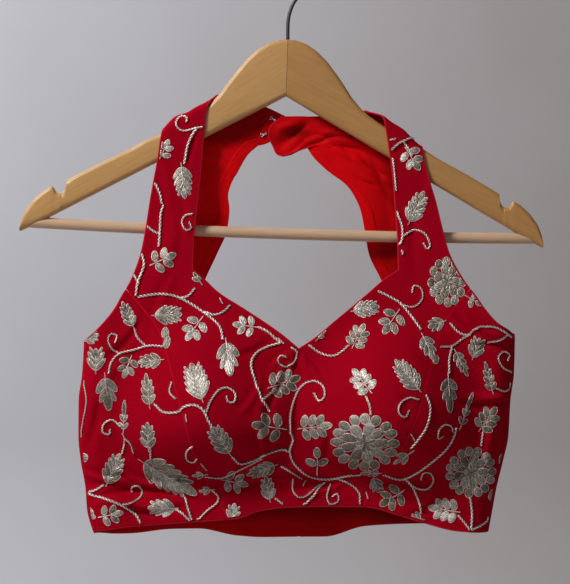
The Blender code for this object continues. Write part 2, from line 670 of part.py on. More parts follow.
def smooth_path(points, steps):
    # Catmull-Rom curve through points, with its ends held.
    knots = np.array([points[0]] + list(points) + [points[-1]], float)
    path = []
    for k in range(len(points) - 1):
        a, b, c, d = knots[k:k + 4]
        for s in range(steps):
            t = s / steps
            path.append(0.5 * (2 * b + (c - a) * t + (2 * a - 5 * b + 4 * c - d) * t ** 2
                               + (3 * b - a - 3 * c + d) * t ** 3))
    path.append(np.array(points[-1], float))
    return path


def add_hook(material):
    middle = -LOOP_RADIUS
    radius = LOOP_RADIUS + WIRE_RADIUS
    points = [(x + APEX[0], 0.0, z) for x, z in HOOK_STEM]
    turns = np.radians(np.linspace(HOOK_LOOP_FROM, HOOK_LOOP_TO, 13))
    points += [(radius * math.cos(a), 0.0, middle + radius * math.sin(a)) for a in turns]
    return add_tube("hanger_hook", smooth_path(points, 2), WIRE_RADIUS, material)


def add_fastening(name, x, z, width, height, steel):
    # A hook in its eye, built as one flat bent plate, just inside the facing or the seam.
    inside = WALL + SEAM_GAP + FASTENING_DEPTH / 2
    if name.startswith("neck"):
        inside += FACING_WALL + SEAM_GAP
    q = girth(x, z, "left")
    y = float(surface_point("back", "left", q, z)[1]) - inside
    mesh = bpy.data.meshes.new(name)
    built = bmesh.new()
    size = Matrix.Diagonal((width / 1000.0, FASTENING_DEPTH / 1000.0, height / 1000.0, 1.0))
    bmesh.ops.create_cube(built, size=1.0, matrix=size)
    corners = [edge for edge in built.edges
               if abs(edge.verts[0].co.y - edge.verts[1].co.y) > FASTENING_DEPTH / 2000.0]
    bmesh.ops.bevel(built, geom=corners, offset=height / 3000.0, segments=2, profile=0.5,
                    affect="EDGES")
    built.to_mesh(mesh)
    built.free()
    mesh.materials.append(steel)
    item = bpy.data.objects.new(name, mesh)
    item.location = (x / 1000.0, y / 1000.0, z / 1000.0)
    bpy.context.scene.collection.objects.link(item)
    return item


def make_material(name, colour, roughness, metallic=0.0):
    made = bpy.data.materials.new(name)
    made.use_nodes = True
    shader = made.node_tree.nodes["Principled BSDF"]
    shader.inputs["Base Color"].default_value = (*colour, 1.0)
    shader.inputs["Roughness"].default_value = roughness
    shader.inputs["Metallic"].default_value = metallic
    return made


def clear_scene():
    for item in list(bpy.data.objects):
        bpy.data.objects.remove(item, do_unlink=True)


def main():
    clear_scene()
    cloth = {name: make_material(name + " cloth", (0.34, 0.002, 0.012), 0.75)
             for name in ("front_centre", "side_front_left", "side_front_right",
                          "back_left", "back_right")}
    facing = {side: make_material("facing cloth " + side, (0.5, 0.01, 0.015), 0.7)
              for side in ("left", "right")}
    steel = make_material("fastener steel", (0.7, 0.7, 0.7), 0.3, 1.0)
    wire = make_material("hook wire", (0.2, 0.2, 0.21), 0.35, 1.0)
    wood = {side: make_material("arm wood " + side, (0.5, 0.3, 0.13), 0.4)
            for side in ("left", "right")}
    dowel = make_material("bar wood", (0.55, 0.34, 0.16), 0.5)

    add_front_centre(cloth["front_centre"])
    for side in ("left", "right"):
        q, z = side_front(side)
        name = "side_front_" + side
        add_panel(name, "front", side, q, z, cloth[name])
        q, z, _ = back_net(side)
        name = "back_" + side
        add_panel(name, "back", side, q, z, cloth[name])
        add_facing(side, facing[side])

    tilt = bpy.data.objects.new("hanger tilt", None)
    tilt.location = (APEX[0] / 1000.0, 0.0, APEX[1] / 1000.0)
    tilt.rotation_euler = (0.0, TILT, 0.0)
    bpy.context.scene.collection.objects.link(tilt)
    _, socket = add_bar(dowel, tilt)
    for side in ("left", "right"):
        add_arm(side, wood[side], tilt, socket)
    add_hook(wire)
    for row in FASTENINGS:
        add_fastening(*row, steel)


main()
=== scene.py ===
# Sleeveless blouse with a keyhole back, hung on a wooden hanger: the finished look.
# Sizes are millimetres in the frame of the fixed parts; meshes are written in metres.
import math

import bpy
import numpy as np
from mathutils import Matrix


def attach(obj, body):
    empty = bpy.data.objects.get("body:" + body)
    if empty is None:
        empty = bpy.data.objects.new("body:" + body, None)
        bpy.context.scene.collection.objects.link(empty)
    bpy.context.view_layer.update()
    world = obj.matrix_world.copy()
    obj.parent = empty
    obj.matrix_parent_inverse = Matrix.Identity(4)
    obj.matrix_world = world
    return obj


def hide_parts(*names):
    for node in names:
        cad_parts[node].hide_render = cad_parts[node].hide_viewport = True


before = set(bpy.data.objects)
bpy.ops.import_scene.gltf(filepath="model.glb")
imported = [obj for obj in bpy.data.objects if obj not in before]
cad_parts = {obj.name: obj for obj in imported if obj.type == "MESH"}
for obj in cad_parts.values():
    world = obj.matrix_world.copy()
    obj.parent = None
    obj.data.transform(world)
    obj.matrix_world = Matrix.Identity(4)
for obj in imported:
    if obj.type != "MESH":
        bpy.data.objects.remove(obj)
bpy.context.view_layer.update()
mm = 0.001
print("frame loaded,", len(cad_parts), "nodes")

# cut of the blouse; "fine" is how many rows or columns stand for a coarse one
cut = {
    "wall": 1.5, "facingWall": 0.5, "seamGap": 0.04, "facingGap": 0.05, "sideRoll": 20.0,
    "sideGirth": 24.0, "sideY": -5.0, "centreX": 7.0, "facingWidth": 9.0, "clothGap": 0.35,
    "woodRound": 4.0, "foldY": 7.85, "wrapRows": 7, "wrapDrop": 14.0, "neckLeaves": 12.0,
    "neckBow": {"left": 6.0, "right": -1.0}, "lapLift": 3.4, "lapFromX": 18.0, "lapRun": 22.0,
    "princessTopZ": -286.5, "princessFootZ": {"left": -482.0, "right": -472.0},
    "neckCornerZ": -270.2, "neckPointZ": -337.0, "keyholeFootZ": -415.0,
    "keyholeHeadZ": -164.0, "neckEndTop": -139.6, "fine": 6,
    "armholeTop": {"left": -331.0, "right": -325.0}, "backNeckX": {"left": -68.0, "right": 70.0},
    "facingTop": {"left": -142.6, "right": -168.5}}
sides = ("left", "right")
halfGap = cut["seamGap"] / 2
corner = cut["woodRound"] + cut["clothGap"] + cut["wall"]
apex = (-2.2, -75.0)
tilt = math.radians(1.85)

# One level wooden arm: distance from the middle, top, underside
armOutline = (
    (0.15, 0, -48.1), (6.5, -0.3, -51.6), (15.5, -3, -56.6), (25, -9, -61.8), (34, -17.5, -66.8),
    (42, -27.5, -71.2), (49, -37, -75), (56, -47.5, -78.9), (64.5, -57, -83.6),
    (71, -62.5, -87.2), (80, -68.5, -92.2), (93, -76.3, -99.3), (106, -84, -106.5),
    (118, -89, -113.1), (131, -97, -120.3), (154, -108.7, -133), (171, -118, -142.4),
    (184, -125.3, -149.6), (184.3, -129.6, -149.7), (185.4, -133.4, -150.3),
    (187.6, -136.2, -151.5), (190.4, -136.8, -153), (193, -135.4, -154.5),
    (194.6, -132.4, -155.4), (196.2, -131, -156.3), (199, -132.2, -157.8), (203, -134.8, -160.1),
    (211, -142, -164.5), (217.5, -150.7, -167.5), (221, -159, -169.3), (222.5, -166, -169.6))
# Edges of the pieces: height, left x, right x
sideSeam = (
    (-500, -165, 166.5), (-473, -172.6, 171.5), (-456, -173.8, 174.6), (-432, -177.9, 180.4),
    (-412, -179.8, 184.7), (-381, -179.6, 186.6), (-358, -176.6, 189.6), (-329, -175.2, 190.4),
    (-250, -177, 192), (-120, -178, 193))
armhole = (
    (-331, -174.6, 192), (-324, -166, 187), (-315, -157, 173.5), (-304, -148.2, 163.6),
    (-293, -142, 156), (-279, -134, 145.6), (-256, -125.9, 133.6), (-235, -122, 128),
    (-212, -118.6, 122.6), (-192, -115.1, 116.9), (-172, -111.6, 112.6), (-148, -108.6, 111.2))
strapInner = (
    (-270.2, -82.4, 91), (-247, -81.8, 90.7), (-223, -79.5, 89.1), (-200, -77.2, 87.6),
    (-176, -74.9, 85), (-152, -73, 81.4), (-138, -72, 79), (-124, -67.5, 67))
neckline = (
    (-337, 7, 7), (-326, -6, 23), (-315, -21.5, 36), (-303, -40, 50.6), (-290, -60.4, 66),
    (-279, -72.3, 78.6), (-270.2, -82.4, 91))
princess = (
    (-486, -50, 58), (-466, -60, 63), (-449, -70.8, 76), (-420, -81.5, 91.5), (-395, -87.6, 103),
    (-371, -94.5, 110.4), (-349, -100.4, 116.6), (-324, -109, 124.6), (-306, -121.5, 135),
    (-286.5, -138.3, 151.2))
keyhole = (
    (-415, 7, 7), (-412.4, -14, 29), (-406, -34, 48), (-394, -55, 66), (-378, -71, 81),
    (-357, -83, 91), (-335, -87.5, 94.4), (-313, -85.9, 91.4), (-296, -80.8, 86),
    (-278, -73.5, 78), (-256, -63, 67.6), (-236, -54.6, 64), (-219, -52.6, 60.4),
    (-207, -53.8, 55), (-198, -51.6, 48.6), (-185, -44.6, 31.6), (-172, -36.8, 18.6),
    (-164, -28, 14))
neckEnd = (
    (-164, -28, 14), (-163, -23, -5), (-160.5, -17.6, -11.6), (-157, -15, -14.6),
    (-152, -13, -18.6), (-139.6, -3.6, -7))
# Hems: x, front height, back height
hem = (
    (-168, -491.6, -493.6), (-150, -488.4, -496.4), (-138, -486.7, -496.2),
    (-100, -483.6, -492.4), (-76, -481.9, -492), (-46, -479.6, -498), (-24, -472.6, -499.4),
    (0, -469.6, -499.2), (30, -469.2, -499), (62, -469.6, -490), (92, -477, -488),
    (112, -482.8, -487.6), (140, -489.6, -487.9), (168, -491.8, -490.4))
# Depth away from the rolled sides: height, front y, back y
depth = (
    (-505, -27, 18), (-478, -26, 17.5), (-455, -24.5, 17), (-430, -28, 16.6), (-400, -30, 16.4),
    (-337, -29, 15.6), (-300, -24, 14.4), (-270, -18.5, 13), (-240, -13.6, 11.6),
    (-205, -10, 9.8), (-175, -8.3, 8.4), (-120, -7.85, 7.85))
neckFlap = {"x": 18.0, "run": 24.0, "z": -147.0, "depth": 14.0, "drop": 11.0}
cups = ({"x": -70.5, "z": -392, "halfWidth": 76, "below": 56, "above": 92, "out": 35},
        {"x": 84.5, "z": -391, "halfWidth": 77, "below": 57, "above": 92, "out": 37})
bridge = {"x": 7.0, "z": -388.0, "halfWidth": 34.0, "halfHeight": 62.0, "out": 11.0}
# Soft lifts of the cloth over the shoulders: x, half width, height
shoulderLifts = ((-82, 22, 4.2), (-99, 14, 5.4), (80, 20, 6.6), (97, 14, 5.2))
# Largest folds, the same as in the solids: x, z, degrees, length, width, out
folds = {
    "front": (
        (-145, -452, -4, 62, 7, -3.6), (-148, -464, -8, 54, 9, 3.4), (7, -452, 2, 70, 8, -3.6),
        (7, -362, 82, 60, 6, -2.6), (168, -330, -28, 46, 7, -3.2), (160, -455, 30, 60, 9, 3),
        (128, -462, 62, 52, 8, -2.8), (-104, -262, 66, 70, 9, 1.6)),
    "back": (
        (-118, -392, 58, 120, 13, 3.2), (124, -388, -60, 128, 14, 3.4),
        (-146, -455, -10, 70, 9, -3), (140, -462, 14, 74, 10, -2.8), (62, -440, 24, 70, 12, 2),
        (-92, -290, 70, 90, 11, -2.2), (98, -284, -66, 94, 12, -2.4))}
# Creases placed one by one: x, z, degrees, length, width, out, bend
creases = {
    "front": (
        (-158, -447, -10, 44, 2.8, 1.2, 3), (-146, -458, 6, 50, 3.2, -1.2, -4),
        (-128, -468, -14, 38, 2.4, 1.1, 2), (-112, -474, 4, 52, 3.4, -1, 3),
        (-164, -402, 74, 60, 4, -1, 4), (-152, -360, 60, 46, 3.6, 0.8, -3),
        (-136, -330, 48, 40, 3, -0.8, 3), (-108, -300, 72, 54, 3.6, 0.5, -3),
        (-92, -238, 84, 60, 4.6, -0.4, 3), (-104, -196, 100, 46, 4, 0.35, 2),
        (-84, -170, 70, 26, 2.6, -0.35, 2), (-30, -338, 24, 34, 2.8, -0.7, 3),
        (-8, -345, 38, 24, 2, 0.8, -2), (-6, -362, 66, 30, 2.2, -0.9, 2),
        (4, -349, 80, 20, 1.8, -0.8, 1), (12, -352, 104, 24, 2, 0.7, -2),
        (18, -346, 134, 28, 2.2, -0.8, 2), (-20, -392, 84, 36, 3, -1.1, -3),
        (-22, -420, 96, 30, 2.4, 0.8, 2), (30, -420, 78, 34, 3, -0.7, 3),
        (0, -444, -8, 60, 3, -1.4, -4), (20, -458, 10, 46, 2.8, 1, 3),
        (96, -386, 94, 26, 3.4, -0.3, 2), (110, -398, 76, 34, 3.4, 0.3, 2),
        (148, -316, -40, 26, 2.2, -1.2, 2), (160, -322, -24, 34, 2.2, 1.3, 3),
        (172, -334, -12, 34, 2.4, -1.3, -3), (166, -384, 4, 44, 2.6, -1.5, 4),
        (172, -378, -4, 34, 2.6, 1.1, 3), (172, -420, 82, 56, 3.6, -1, -4),
        (146, -440, 52, 44, 3, 1, 3), (118, -470, 30, 44, 3, -1, 3),
        (86, -462, -10, 54, 3.2, -1, 4), (104, -240, 84, 52, 4, -0.4, -3),
        (116, -206, 74, 40, 3.6, 0.35, 3), (96, -166, 30, 30, 2.6, -0.4, 3),
        (-107, -457, -9, 62, 2.6, -1.2, -4), (-128, -448, -24, 40, 2.2, 0.9, 3),
        (-40, -452, 16, 48, 2.6, -1, -4), (-30, -376, 60, 34, 2.4, 0.6, 3)),
    "back": (
        (1, -153, 20, 27, 3, 1.5, 2), (26, -160, 20, 30, 1.9, 0.9, 2),
        (10, -163, 12, 44, 2.2, -0.7, 2), (44, -156, 4, 38, 1.8, 0.8, 2),
        (66, -196, -22, 26, 1.6, 0.7, 2), (-62, -178, 150, 44, 2.4, -0.9, 4),
        (-70, -205, 112, 60, 3.6, 0.9, -4), (-84, -238, 96, 58, 4, -1.1, 3),
        (48, -172, -28, 40, 2, -1, 3), (62, -168, -16, 46, 2.6, 0.9, -3),
        (70, -188, -34, 44, 2.2, -0.9, 4), (84, -206, -58, 54, 3.4, 0.9, 3),
        (92, -236, -84, 60, 4, -1, -4), (-118, -300, 74, 64, 4.4, -1, 4),
        (128, -296, -72, 62, 4.4, -1, -4), (-152, -372, 24, 52, 3.6, 1.2, 3),
        (158, -366, -20, 56, 3.6, 1.2, -3), (-138, -418, 8, 66, 4, -1.2, 4),
        (146, -424, -6, 62, 4, -1.2, 4), (-96, -446, -4, 58, 3.4, 1, -4),
        (98, -462, 10, 62, 3.4, 1, 4), (-54, -470, 12, 58, 3.6, -1, 3),
        (44, -458, -8, 50, 3.2, -0.9, 3), (-30, -434, 40, 36, 3, 0.8, 3),
        (38, -428, 140, 36, 3, 0.8, -3))}
creaseLook = {"depth": 2.3, "twinDepth": 0.45, "twinAway": 1.7, "twinWidth": 1.25}
seamLook = {"dip": 0.05, "dipWidth": 0.7, "pucker": 0.08, "puckerStep": 7.5,
            "puckerWidth": 4.5, "from": 4.0, "run": 6.0}
rippleLook = {"height": 0.28, "acrossStep": 19.0, "downStep": 27.0, "from": 150.0, "run": 60.0}


def monotone(pairs, at):
    # monotone cubic through pairs: Hermite with harmonic-mean slopes
    key, value = np.array(sorted(pairs), float).T
    at = np.clip(np.asarray(at, float), key[0], key[-1])
    step = np.diff(key)
    slope = np.diff(value) / step
    before, after = slope[:-1], slope[1:]
    level = before * after <= 0
    mean = 2 * before * after / np.where(level, 1.0, before + after)
    tangent = np.concatenate([slope[:1], np.where(level, 0.0, mean), slope[-1:]])
    cell = np.clip(np.searchsorted(key, at) - 1, 0, len(step) - 1)
    width = step[cell]
    t = (at - key[cell]) / width
    return ((2 * t ** 3 - 3 * t ** 2 + 1) * value[cell]
            + (t ** 3 - 2 * t ** 2 + t) * width * tangent[cell]
            + (3 * t ** 2 - 2 * t ** 3) * value[cell + 1]
            + (t ** 3 - t ** 2) * width * tangent[cell + 1])


def columnOf(which):
    return 1 if which in ("left", "front") else 2


def smooth(table, at, which):
    return monotone([(row[0], row[columnOf(which)]) for row in table], at)


def ease(t):
    t = np.clip(t, 0.0, 1.0)
    return t * t * (3 - 2 * t)


def unit(vectors):
    return vectors / np.maximum(np.linalg.norm(vectors, axis=-1, keepdims=True), 1e-9)


def lengthAlong(path):
    return np.concatenate([[0], np.cumsum(np.linalg.norm(np.diff(path, axis=0), axis=1))])


def polar(degrees, size):
    return size * math.cos(math.radians(degrees)), size * math.sin(math.radians(degrees))


def turned(dx, dz, degrees):
    # along and beside a line at that angle
    c, s = polar(degrees, 1.0)
    return dx * c + dz * s, dz * c - dx * s


def tilted(x, z):
    # a point of the level hanger, turned by the tilt about its apex
    return (apex[0] + x * math.cos(tilt) + z * math.sin(tilt),
            apex[1] - x * math.sin(tilt) + z * math.cos(tilt))


woodX, woodZ = np.array([tilted(-x, top) for x, top, low in reversed(armOutline)]
                        + [tilted(x, top) for x, top, low in armOutline]).T


def woodStretch(x, span=4.0, most=1.75):
    # sqrt(1 + slope^2) of the wood's top line
    rise = np.interp(x + span, woodX, woodZ) - np.interp(x - span, woodX, woodZ)
    return np.minimum(np.sqrt(1 + (rise / (2 * span)) ** 2), most)


def foldTop(x):
    # top of the cloth over the wood: wood + (gap + wall) * stretch + soft lifts
    stretch = woodStretch(x)
    top = np.interp(x, woodX, woodZ) + (cut["clothGap"] + cut["wall"]) * stretch
    for liftX, halfWidth, height in shoulderLifts:
        top = top + height * (1 - ease(np.abs(x - liftX) / halfWidth))
    return top, stretch


def girth(x, z, side):
    # girth q from the side seam: an arc of the rolled side, then straight
    inward = np.abs(x - smooth(sideSeam, z, side))
    turn = np.arccos(np.clip(1 - inward / cut["sideRoll"], 0.0, 1.0))
    return np.where(inward < cut["sideRoll"], cut["sideGirth"] * turn,
                    cut["sideGirth"] * math.pi / 2 + inward - cut["sideRoll"])


def across(q, z, side):
    # the x at girth q, and the sine of how far the side has rolled over
    turn = np.clip(q / cut["sideGirth"], 0.0, math.pi / 2)
    inward = (cut["sideRoll"] * (1 - np.cos(turn))
              + np.maximum(q - cut["sideGirth"] * math.pi / 2, 0.0))
    sign = 1.0 if side == "left" else -1.0
    return smooth(sideSeam, z, side) + sign * inward, np.sin(turn)


def cupOut(x, z):
    # sum of out * (1 - r^2)^power, full below and flatter above, and a soft bridge
    out = np.zeros(np.broadcast(x, z).shape)
    for cup in cups:
        dx = (x - cup["x"]) / cup["halfWidth"]
        rise = z - cup["z"]
        dz = np.where(rise > 0, rise / cup["above"], rise / cup["below"])
        r = np.sqrt(dx ** 2 + dz ** 2)
        power = 1.0 + 0.9 * ease(0.5 + 0.5 * dz / np.maximum(r, 1e-6))
        out = out + cup["out"] * np.clip(1 - r ** 2, 0.0, None) ** power
    dx = (x - bridge["x"]) / bridge["halfWidth"]
    dz = (z - bridge["z"]) / bridge["halfHeight"]
    return out + bridge["out"] * np.exp(-dx ** 2 - dz ** 2)


def foldsOut(surface, x, z):
    # out * exp(-(beside/width)^2 - (2 along/length)^2) for each fold, and for each crease
    # the same with a bent line and a shallower twin of the other sign beside it
    out = np.zeros(np.broadcast(x, z).shape)
    for fx, fz, angle, length, width, height in folds[surface]:
        along, beside = turned(x - fx, z - fz, angle)
        out = out + height * np.exp(-(beside / width) ** 2 - (2 * along / length) ** 2)
    for fx, fz, angle, length, width, height, bend in creases[surface]:
        along, beside = turned(x - fx, z - fz, angle)
        beside = beside - bend * (2 * along / length) ** 2
        twin = beside - creaseLook["twinAway"] * width
        line = np.exp(-(beside / width) ** 2) - creaseLook["twinDepth"] * np.exp(
            -(twin / (creaseLook["twinWidth"] * width)) ** 2)
        out = out + creaseLook["depth"] * height * line * np.exp(-(2 * along / length) ** 4)
    return out


def ripple(x, z):
    # three crossing sine waves, so that no stretch of cloth is quite flat
    a = x / rippleLook["acrossStep"]
    b = z / rippleLook["downStep"]
    waves = (np.sin(a + 0.7 * b) + np.sin(1.7 * b - 0.6 * a + 1.3)
             + 0.6 * np.sin(2.3 * a + 1.1 * b + 2.1))
    return rippleLook["height"] * waves * ease((-z - rippleLook["from"]) / rippleLook["run"])


def princessOut(x, z):
    # seam groove -dip * exp(-(d/width)^2), with small puckers along it
    d = np.minimum(*[np.abs(x - smooth(princess, z, side)) for side in sides])
    below = ease((cut["princessTopZ"] + seamLook["from"] - z) / seamLook["run"])
    pucker = (seamLook["pucker"] * np.sin(2 * math.pi * z / seamLook["puckerStep"])
              * np.exp(-(d / seamLook["puckerWidth"]) ** 2))
    return below * (pucker - seamLook["dip"] * np.exp(-(d / seamLook["dipWidth"]) ** 2))


def surfacePoint(surface, side, q, z):
    # outer face of the cloth: depth + cups + folds, rolled in at the side, then
    # turned over the wood on a quarter round towards the shoulder seam
    x, roll = across(q, z, side)
    facing = -1.0 if surface == "front" else 1.0
    small = foldsOut(surface, x, z) + ripple(x, z)
    out = facing * smooth(depth, z, surface)
    if surface == "front":
        out = out + cupOut(x, z) + small + princessOut(x, z)
    else:
        out = out + small
    y = cut["sideY"] + (facing * out - cut["sideY"]) * roll
    droop = 0.0
    if surface == "back" and side == "right":
        atNeck = ease((z + 200.0) / 30.0)
        y = y - cut["lapLift"] * ease((cut["lapFromX"] - x) / cut["lapRun"]) * atNeck
        droop = (neckFlap["drop"] * ease((neckFlap["x"] - x) / neckFlap["run"])
                 * ease((neckFlap["z"] - z) / neckFlap["depth"])) * atNeck
    top, stretch = foldTop(x)
    flat = cut["foldY"] - corner
    quarter = corner * math.pi / 2
    run = flat + quarter + (top - corner * stretch - z) / stretch
    turn = np.clip((run - flat) / corner, 0.0, math.pi / 2)
    over = run < flat + quarter
    foldedY = facing * (np.clip(run, 0.0, flat) + corner * np.sin(turn))
    foldedZ = top - corner * stretch * (1 - np.cos(turn))
    return np.stack([x, np.where(over, foldedY, y), np.where(over, foldedZ, z - droop)], -1)


def panelFlip(surface, side):
    return (surface == "front") != (side == "left")


def onCloth(surface, side, q, z, reach=0.4):
    # the points, and the normals as cross product of the two slopes, facing outwards
    def at(dq, dz):
        return surfacePoint(surface, side, q + dq, z + dz)
    normal = unit(np.cross(at(reach, 0) - at(-reach, 0), at(0, reach) - at(0, -reach)))
    return at(0, 0), -normal if panelFlip(surface, side) else normal


def seamZ(x):
    # unrolled height at which the cloth reaches the shoulder seam
    top, stretch = foldTop(x)
    run = cut["foldY"] - corner + corner * math.pi / 2 - halfGap
    return top - corner * stretch + run * stretch


def spread(knots):
    # straight steps between knots of (outer height, inner height, coarse rows)
    outer, inner, counts = zip(*knots)
    place = np.concatenate([[0], np.cumsum(counts[:-1])])
    rows = np.arange(int(place[-1]) * cut["fine"] + 1) / cut["fine"]
    return rows, np.interp(rows, place, outer), np.interp(rows, place, inner)


def net(rows, outerQ, outerZ, innerQ, innerZ, t, top, foot, side, held=0, fade=12):
    # grid of (q, z) between two edges; first rows follow the top line, last the hem
    q = outerQ[:, None] * (1 - t) + innerQ[:, None] * t
    z = outerZ[:, None] * (1 - t) + innerZ[:, None] * t
    rows = rows[:, None]
    topX = across(q[:1], z[:1], side)[0]
    footX = across(q[-1:], z[-1:], side)[0]
    z = z + (top(topX) - z[:1]) * (1 - ease((rows - held) / fade))
    z = z + (foot(footX) - z[-1:]) * ease((rows - rows[-1] + fade) / fade)
    return q, z


def frontHem(x):
    return smooth(hem, x, "front")


def backHem(x):
    return smooth(hem, x, "back")


def armholeZ(side):
    # the armhole table read the other way round
    swapped = [(row[columnOf(side)], row[0]) for row in armhole]
    return lambda x: np.minimum(monotone(swapped, x), cut["princessTopZ"] - halfGap)


def strapOrNeck(z, side):
    # inner edge of the strap, then of the neckline
    return np.where(z >= cut["neckCornerZ"], smooth(strapInner, z, side),
                    smooth(neckline, z, side))


def strapTop(side):
    return float(seamZ(smooth(armhole, -150.0, side)))


def centreHalf(side, columns=11):
    # one half of the front centre panel with its strap
    outer = strapTop(side)
    inner = float(seamZ(smooth(strapInner, -124.0, side)))
    rows, outerZ, innerZ = spread([
        (outer, inner, cut["wrapRows"]),
        (outer - cut["wrapDrop"], inner - cut["wrapDrop"], 8),
        (-252.0, cut["neckCornerZ"], 4),
        (cut["princessTopZ"], -300.0, 4),
        (-322.0, cut["neckPointZ"], 14),
        (cut["princessFootZ"][side], float(frontHem(cut["centreX"])), 0)])
    onSeam = outerZ <= cut["princessTopZ"]
    outerX = np.where(onSeam, smooth(princess, outerZ, side), smooth(armhole, outerZ, side))
    outerQ = girth(outerX, outerZ, side) + halfGap * onSeam
    innerQ = girth(strapOrNeck(innerZ, side), innerZ, side)
    t = np.linspace(0, 1, columns * cut["fine"] + 1)[None, :]
    pointRow = int(np.argmin(np.abs(innerZ - cut["neckPointZ"])))
    q, z = net(rows, outerQ, outerZ, innerQ, innerZ, t, seamZ, frontHem, side, cut["wrapRows"])
    return q, z, pointRow, onSeam


def sideFront(side, columns=9, count=17):
    # side front panel, from the armhole to the hem
    rows, outerZ, innerZ = spread([(cut["armholeTop"][side], cut["princessTopZ"], count),
                                   (-492.0, cut["princessFootZ"][side], 0)])
    outerQ = np.full(len(rows), halfGap)
    innerQ = girth(smooth(princess, innerZ, side), innerZ, side) - halfGap
    t = np.linspace(0, 1, columns * cut["fine"] + 1)[None, :] ** 1.2
    return net(rows, outerQ, outerZ, innerQ, innerZ, t, armholeZ(side), frontHem, side)


def backTop(side):
    # shoulder seam, then the free neck edge to its end
    leave = cut["backNeckX"][side]
    end = float(smooth(neckEnd, cut["neckEndTop"], side))

    def line(x):
        t = np.clip((x - leave) / (end - leave), 0.0, 1.0)
        fromZ = float(foldTop(leave)[0])
        free = fromZ + (cut["neckEndTop"] - fromZ) * t + cut["neckBow"][side] * np.sin(np.pi * t)
        leftArm = ease((abs(leave) - np.abs(x)) / cut["neckLeaves"])
        return seamZ(x) * (1 - leftArm) + free * leftArm
    return line


def backNet(side, columns=13):
    # a back piece; its last strip of columns is as wide as the facing
    top = strapTop(side)
    rows, outerZ, innerZ = spread([
        (top, cut["neckEndTop"], cut["wrapRows"]),
        (top - cut["wrapDrop"], cut["neckEndTop"] - 10.0, 4),
        (top - 26.0, cut["keyholeHeadZ"], 1),
        (top - 31.0, cut["keyholeHeadZ"] - 5.0, 6),
        (-262.0, -256.0, 4),
        (cut["armholeTop"][side], -318.0, 9),
        (-446.0, cut["keyholeFootZ"], 4),
        (-498.0, float(backHem(cut["centreX"])), 0)])
    sign = 1.0 if side == "left" else -1.0
    outerQ = girth(smooth(armhole, outerZ, side) + 2.0 * sign, outerZ, side)
    outerQ = np.where(outerZ > cut["armholeTop"][side] + 1.0, outerQ, halfGap)
    outerQ = np.maximum(outerQ, halfGap)
    innerX = np.where(innerZ >= cut["keyholeHeadZ"], smooth(neckEnd, innerZ, side),
                      smooth(keyhole, innerZ, side))
    innerQ = girth(innerX, innerZ, side) - halfGap * (innerZ <= cut["keyholeFootZ"])
    strip = cut["facingWidth"] / (innerQ - outerQ)[:, None]
    even = np.linspace(0, 1, columns * 4 + 1)[None, :]
    leave = cut["backNeckX"][side]
    comeOff = leave - math.copysign(1.5 * cut["neckLeaves"], leave)
    zone = [float((girth(x, outerZ[0], side) - outerQ[0]) / (innerQ[0] - outerQ[0]))
            for x in (leave, comeOff)]
    crowded = np.interp(even, (0.0, 0.24, 0.72, 1.0), (0.0, *zone, 1.0))
    share = 1 - ease((rows[:, None] - cut["wrapRows"]) / 10)
    t = (crowded * share + even * (1 - share)) * (1 - strip)
    edge = 1 - strip * np.linspace(1, 0, cut["fine"] + 1)[None, 1:]
    t = np.concatenate([t, edge], axis=1)
    q, z = net(rows, outerQ, outerZ, innerQ, innerZ, t, backTop(side), backHem, side,
               cut["wrapRows"])
    return q, z, innerZ


# meshes
def makeMesh(name, points, faces, materials, slots=None, uv=None, marks=None, crisp=None):
    # points in mm and an array of quads or triangles become one mesh object
    mesh = bpy.data.meshes.new(name)
    mesh.vertices.add(len(points))
    mesh.vertices.foreach_set("co", (np.asarray(points) * mm).astype(np.float32).ravel())
    mesh.loops.add(faces.size)
    mesh.loops.foreach_set("vertex_index", faces.astype(np.int32).ravel())
    mesh.polygons.add(len(faces))
    mesh.polygons.foreach_set("loop_start",
                              np.arange(len(faces), dtype=np.int32) * faces.shape[1])
    if slots is not None:
        mesh.polygons.foreach_set("material_index", np.asarray(slots, np.int32))
    for material in materials:
        mesh.materials.append(material)
    if uv is not None:
        layer = mesh.uv_layers.new(name="cloth")
        layer.data.foreach_set("uv", uv[faces.ravel()].astype(np.float32).ravel())
    for key, values in (marks or {}).items():
        attribute = mesh.attributes.new(key, "FLOAT", "POINT")
        attribute.data.foreach_set("value", np.asarray(values, np.float32))
    mesh.update(calc_edges=True)
    mesh.validate()
    mesh.shade_smooth()
    if crisp:
        mesh.set_sharp_from_angle(angle=math.radians(crisp))
    return placed(bpy.data.objects.new(name, mesh))


def placed(item):
    bpy.context.scene.collection.objects.link(item)
    return item


def makeTriangled(name, points, faces, material, uv, marks=None, crisp=None):
    # quads with a repeated corner become triangles, the others two each
    double = faces[:, 0] == faces[:, 3]
    triangles = np.concatenate([faces[double][:, :3], faces[~double][:, [0, 1, 2]],
                                faces[~double][:, [0, 2, 3]]])
    return makeMesh(name, points, triangles, [material], None, uv, marks, crisp)


def gridQuads(index, flip):
    # quads of a grid of vertex numbers, turned so that they face out
    quads = np.stack([index[:-1, :-1], index[1:, :-1], index[1:, 1:], index[:-1, 1:]], -1)
    quads = quads.reshape(-1, 4)
    return quads[:, ::-1] if flip else quads


def borderOf(faces):
    # directed edges that only one face has
    edges = np.stack([faces, np.roll(faces, -1, axis=1)], -1).reshape(-1, 2)
    count = int(faces.max()) + 1
    forward = edges[:, 0] * count + edges[:, 1]
    back = edges[:, 1] * count + edges[:, 0]
    return edges[~np.isin(forward, back)]


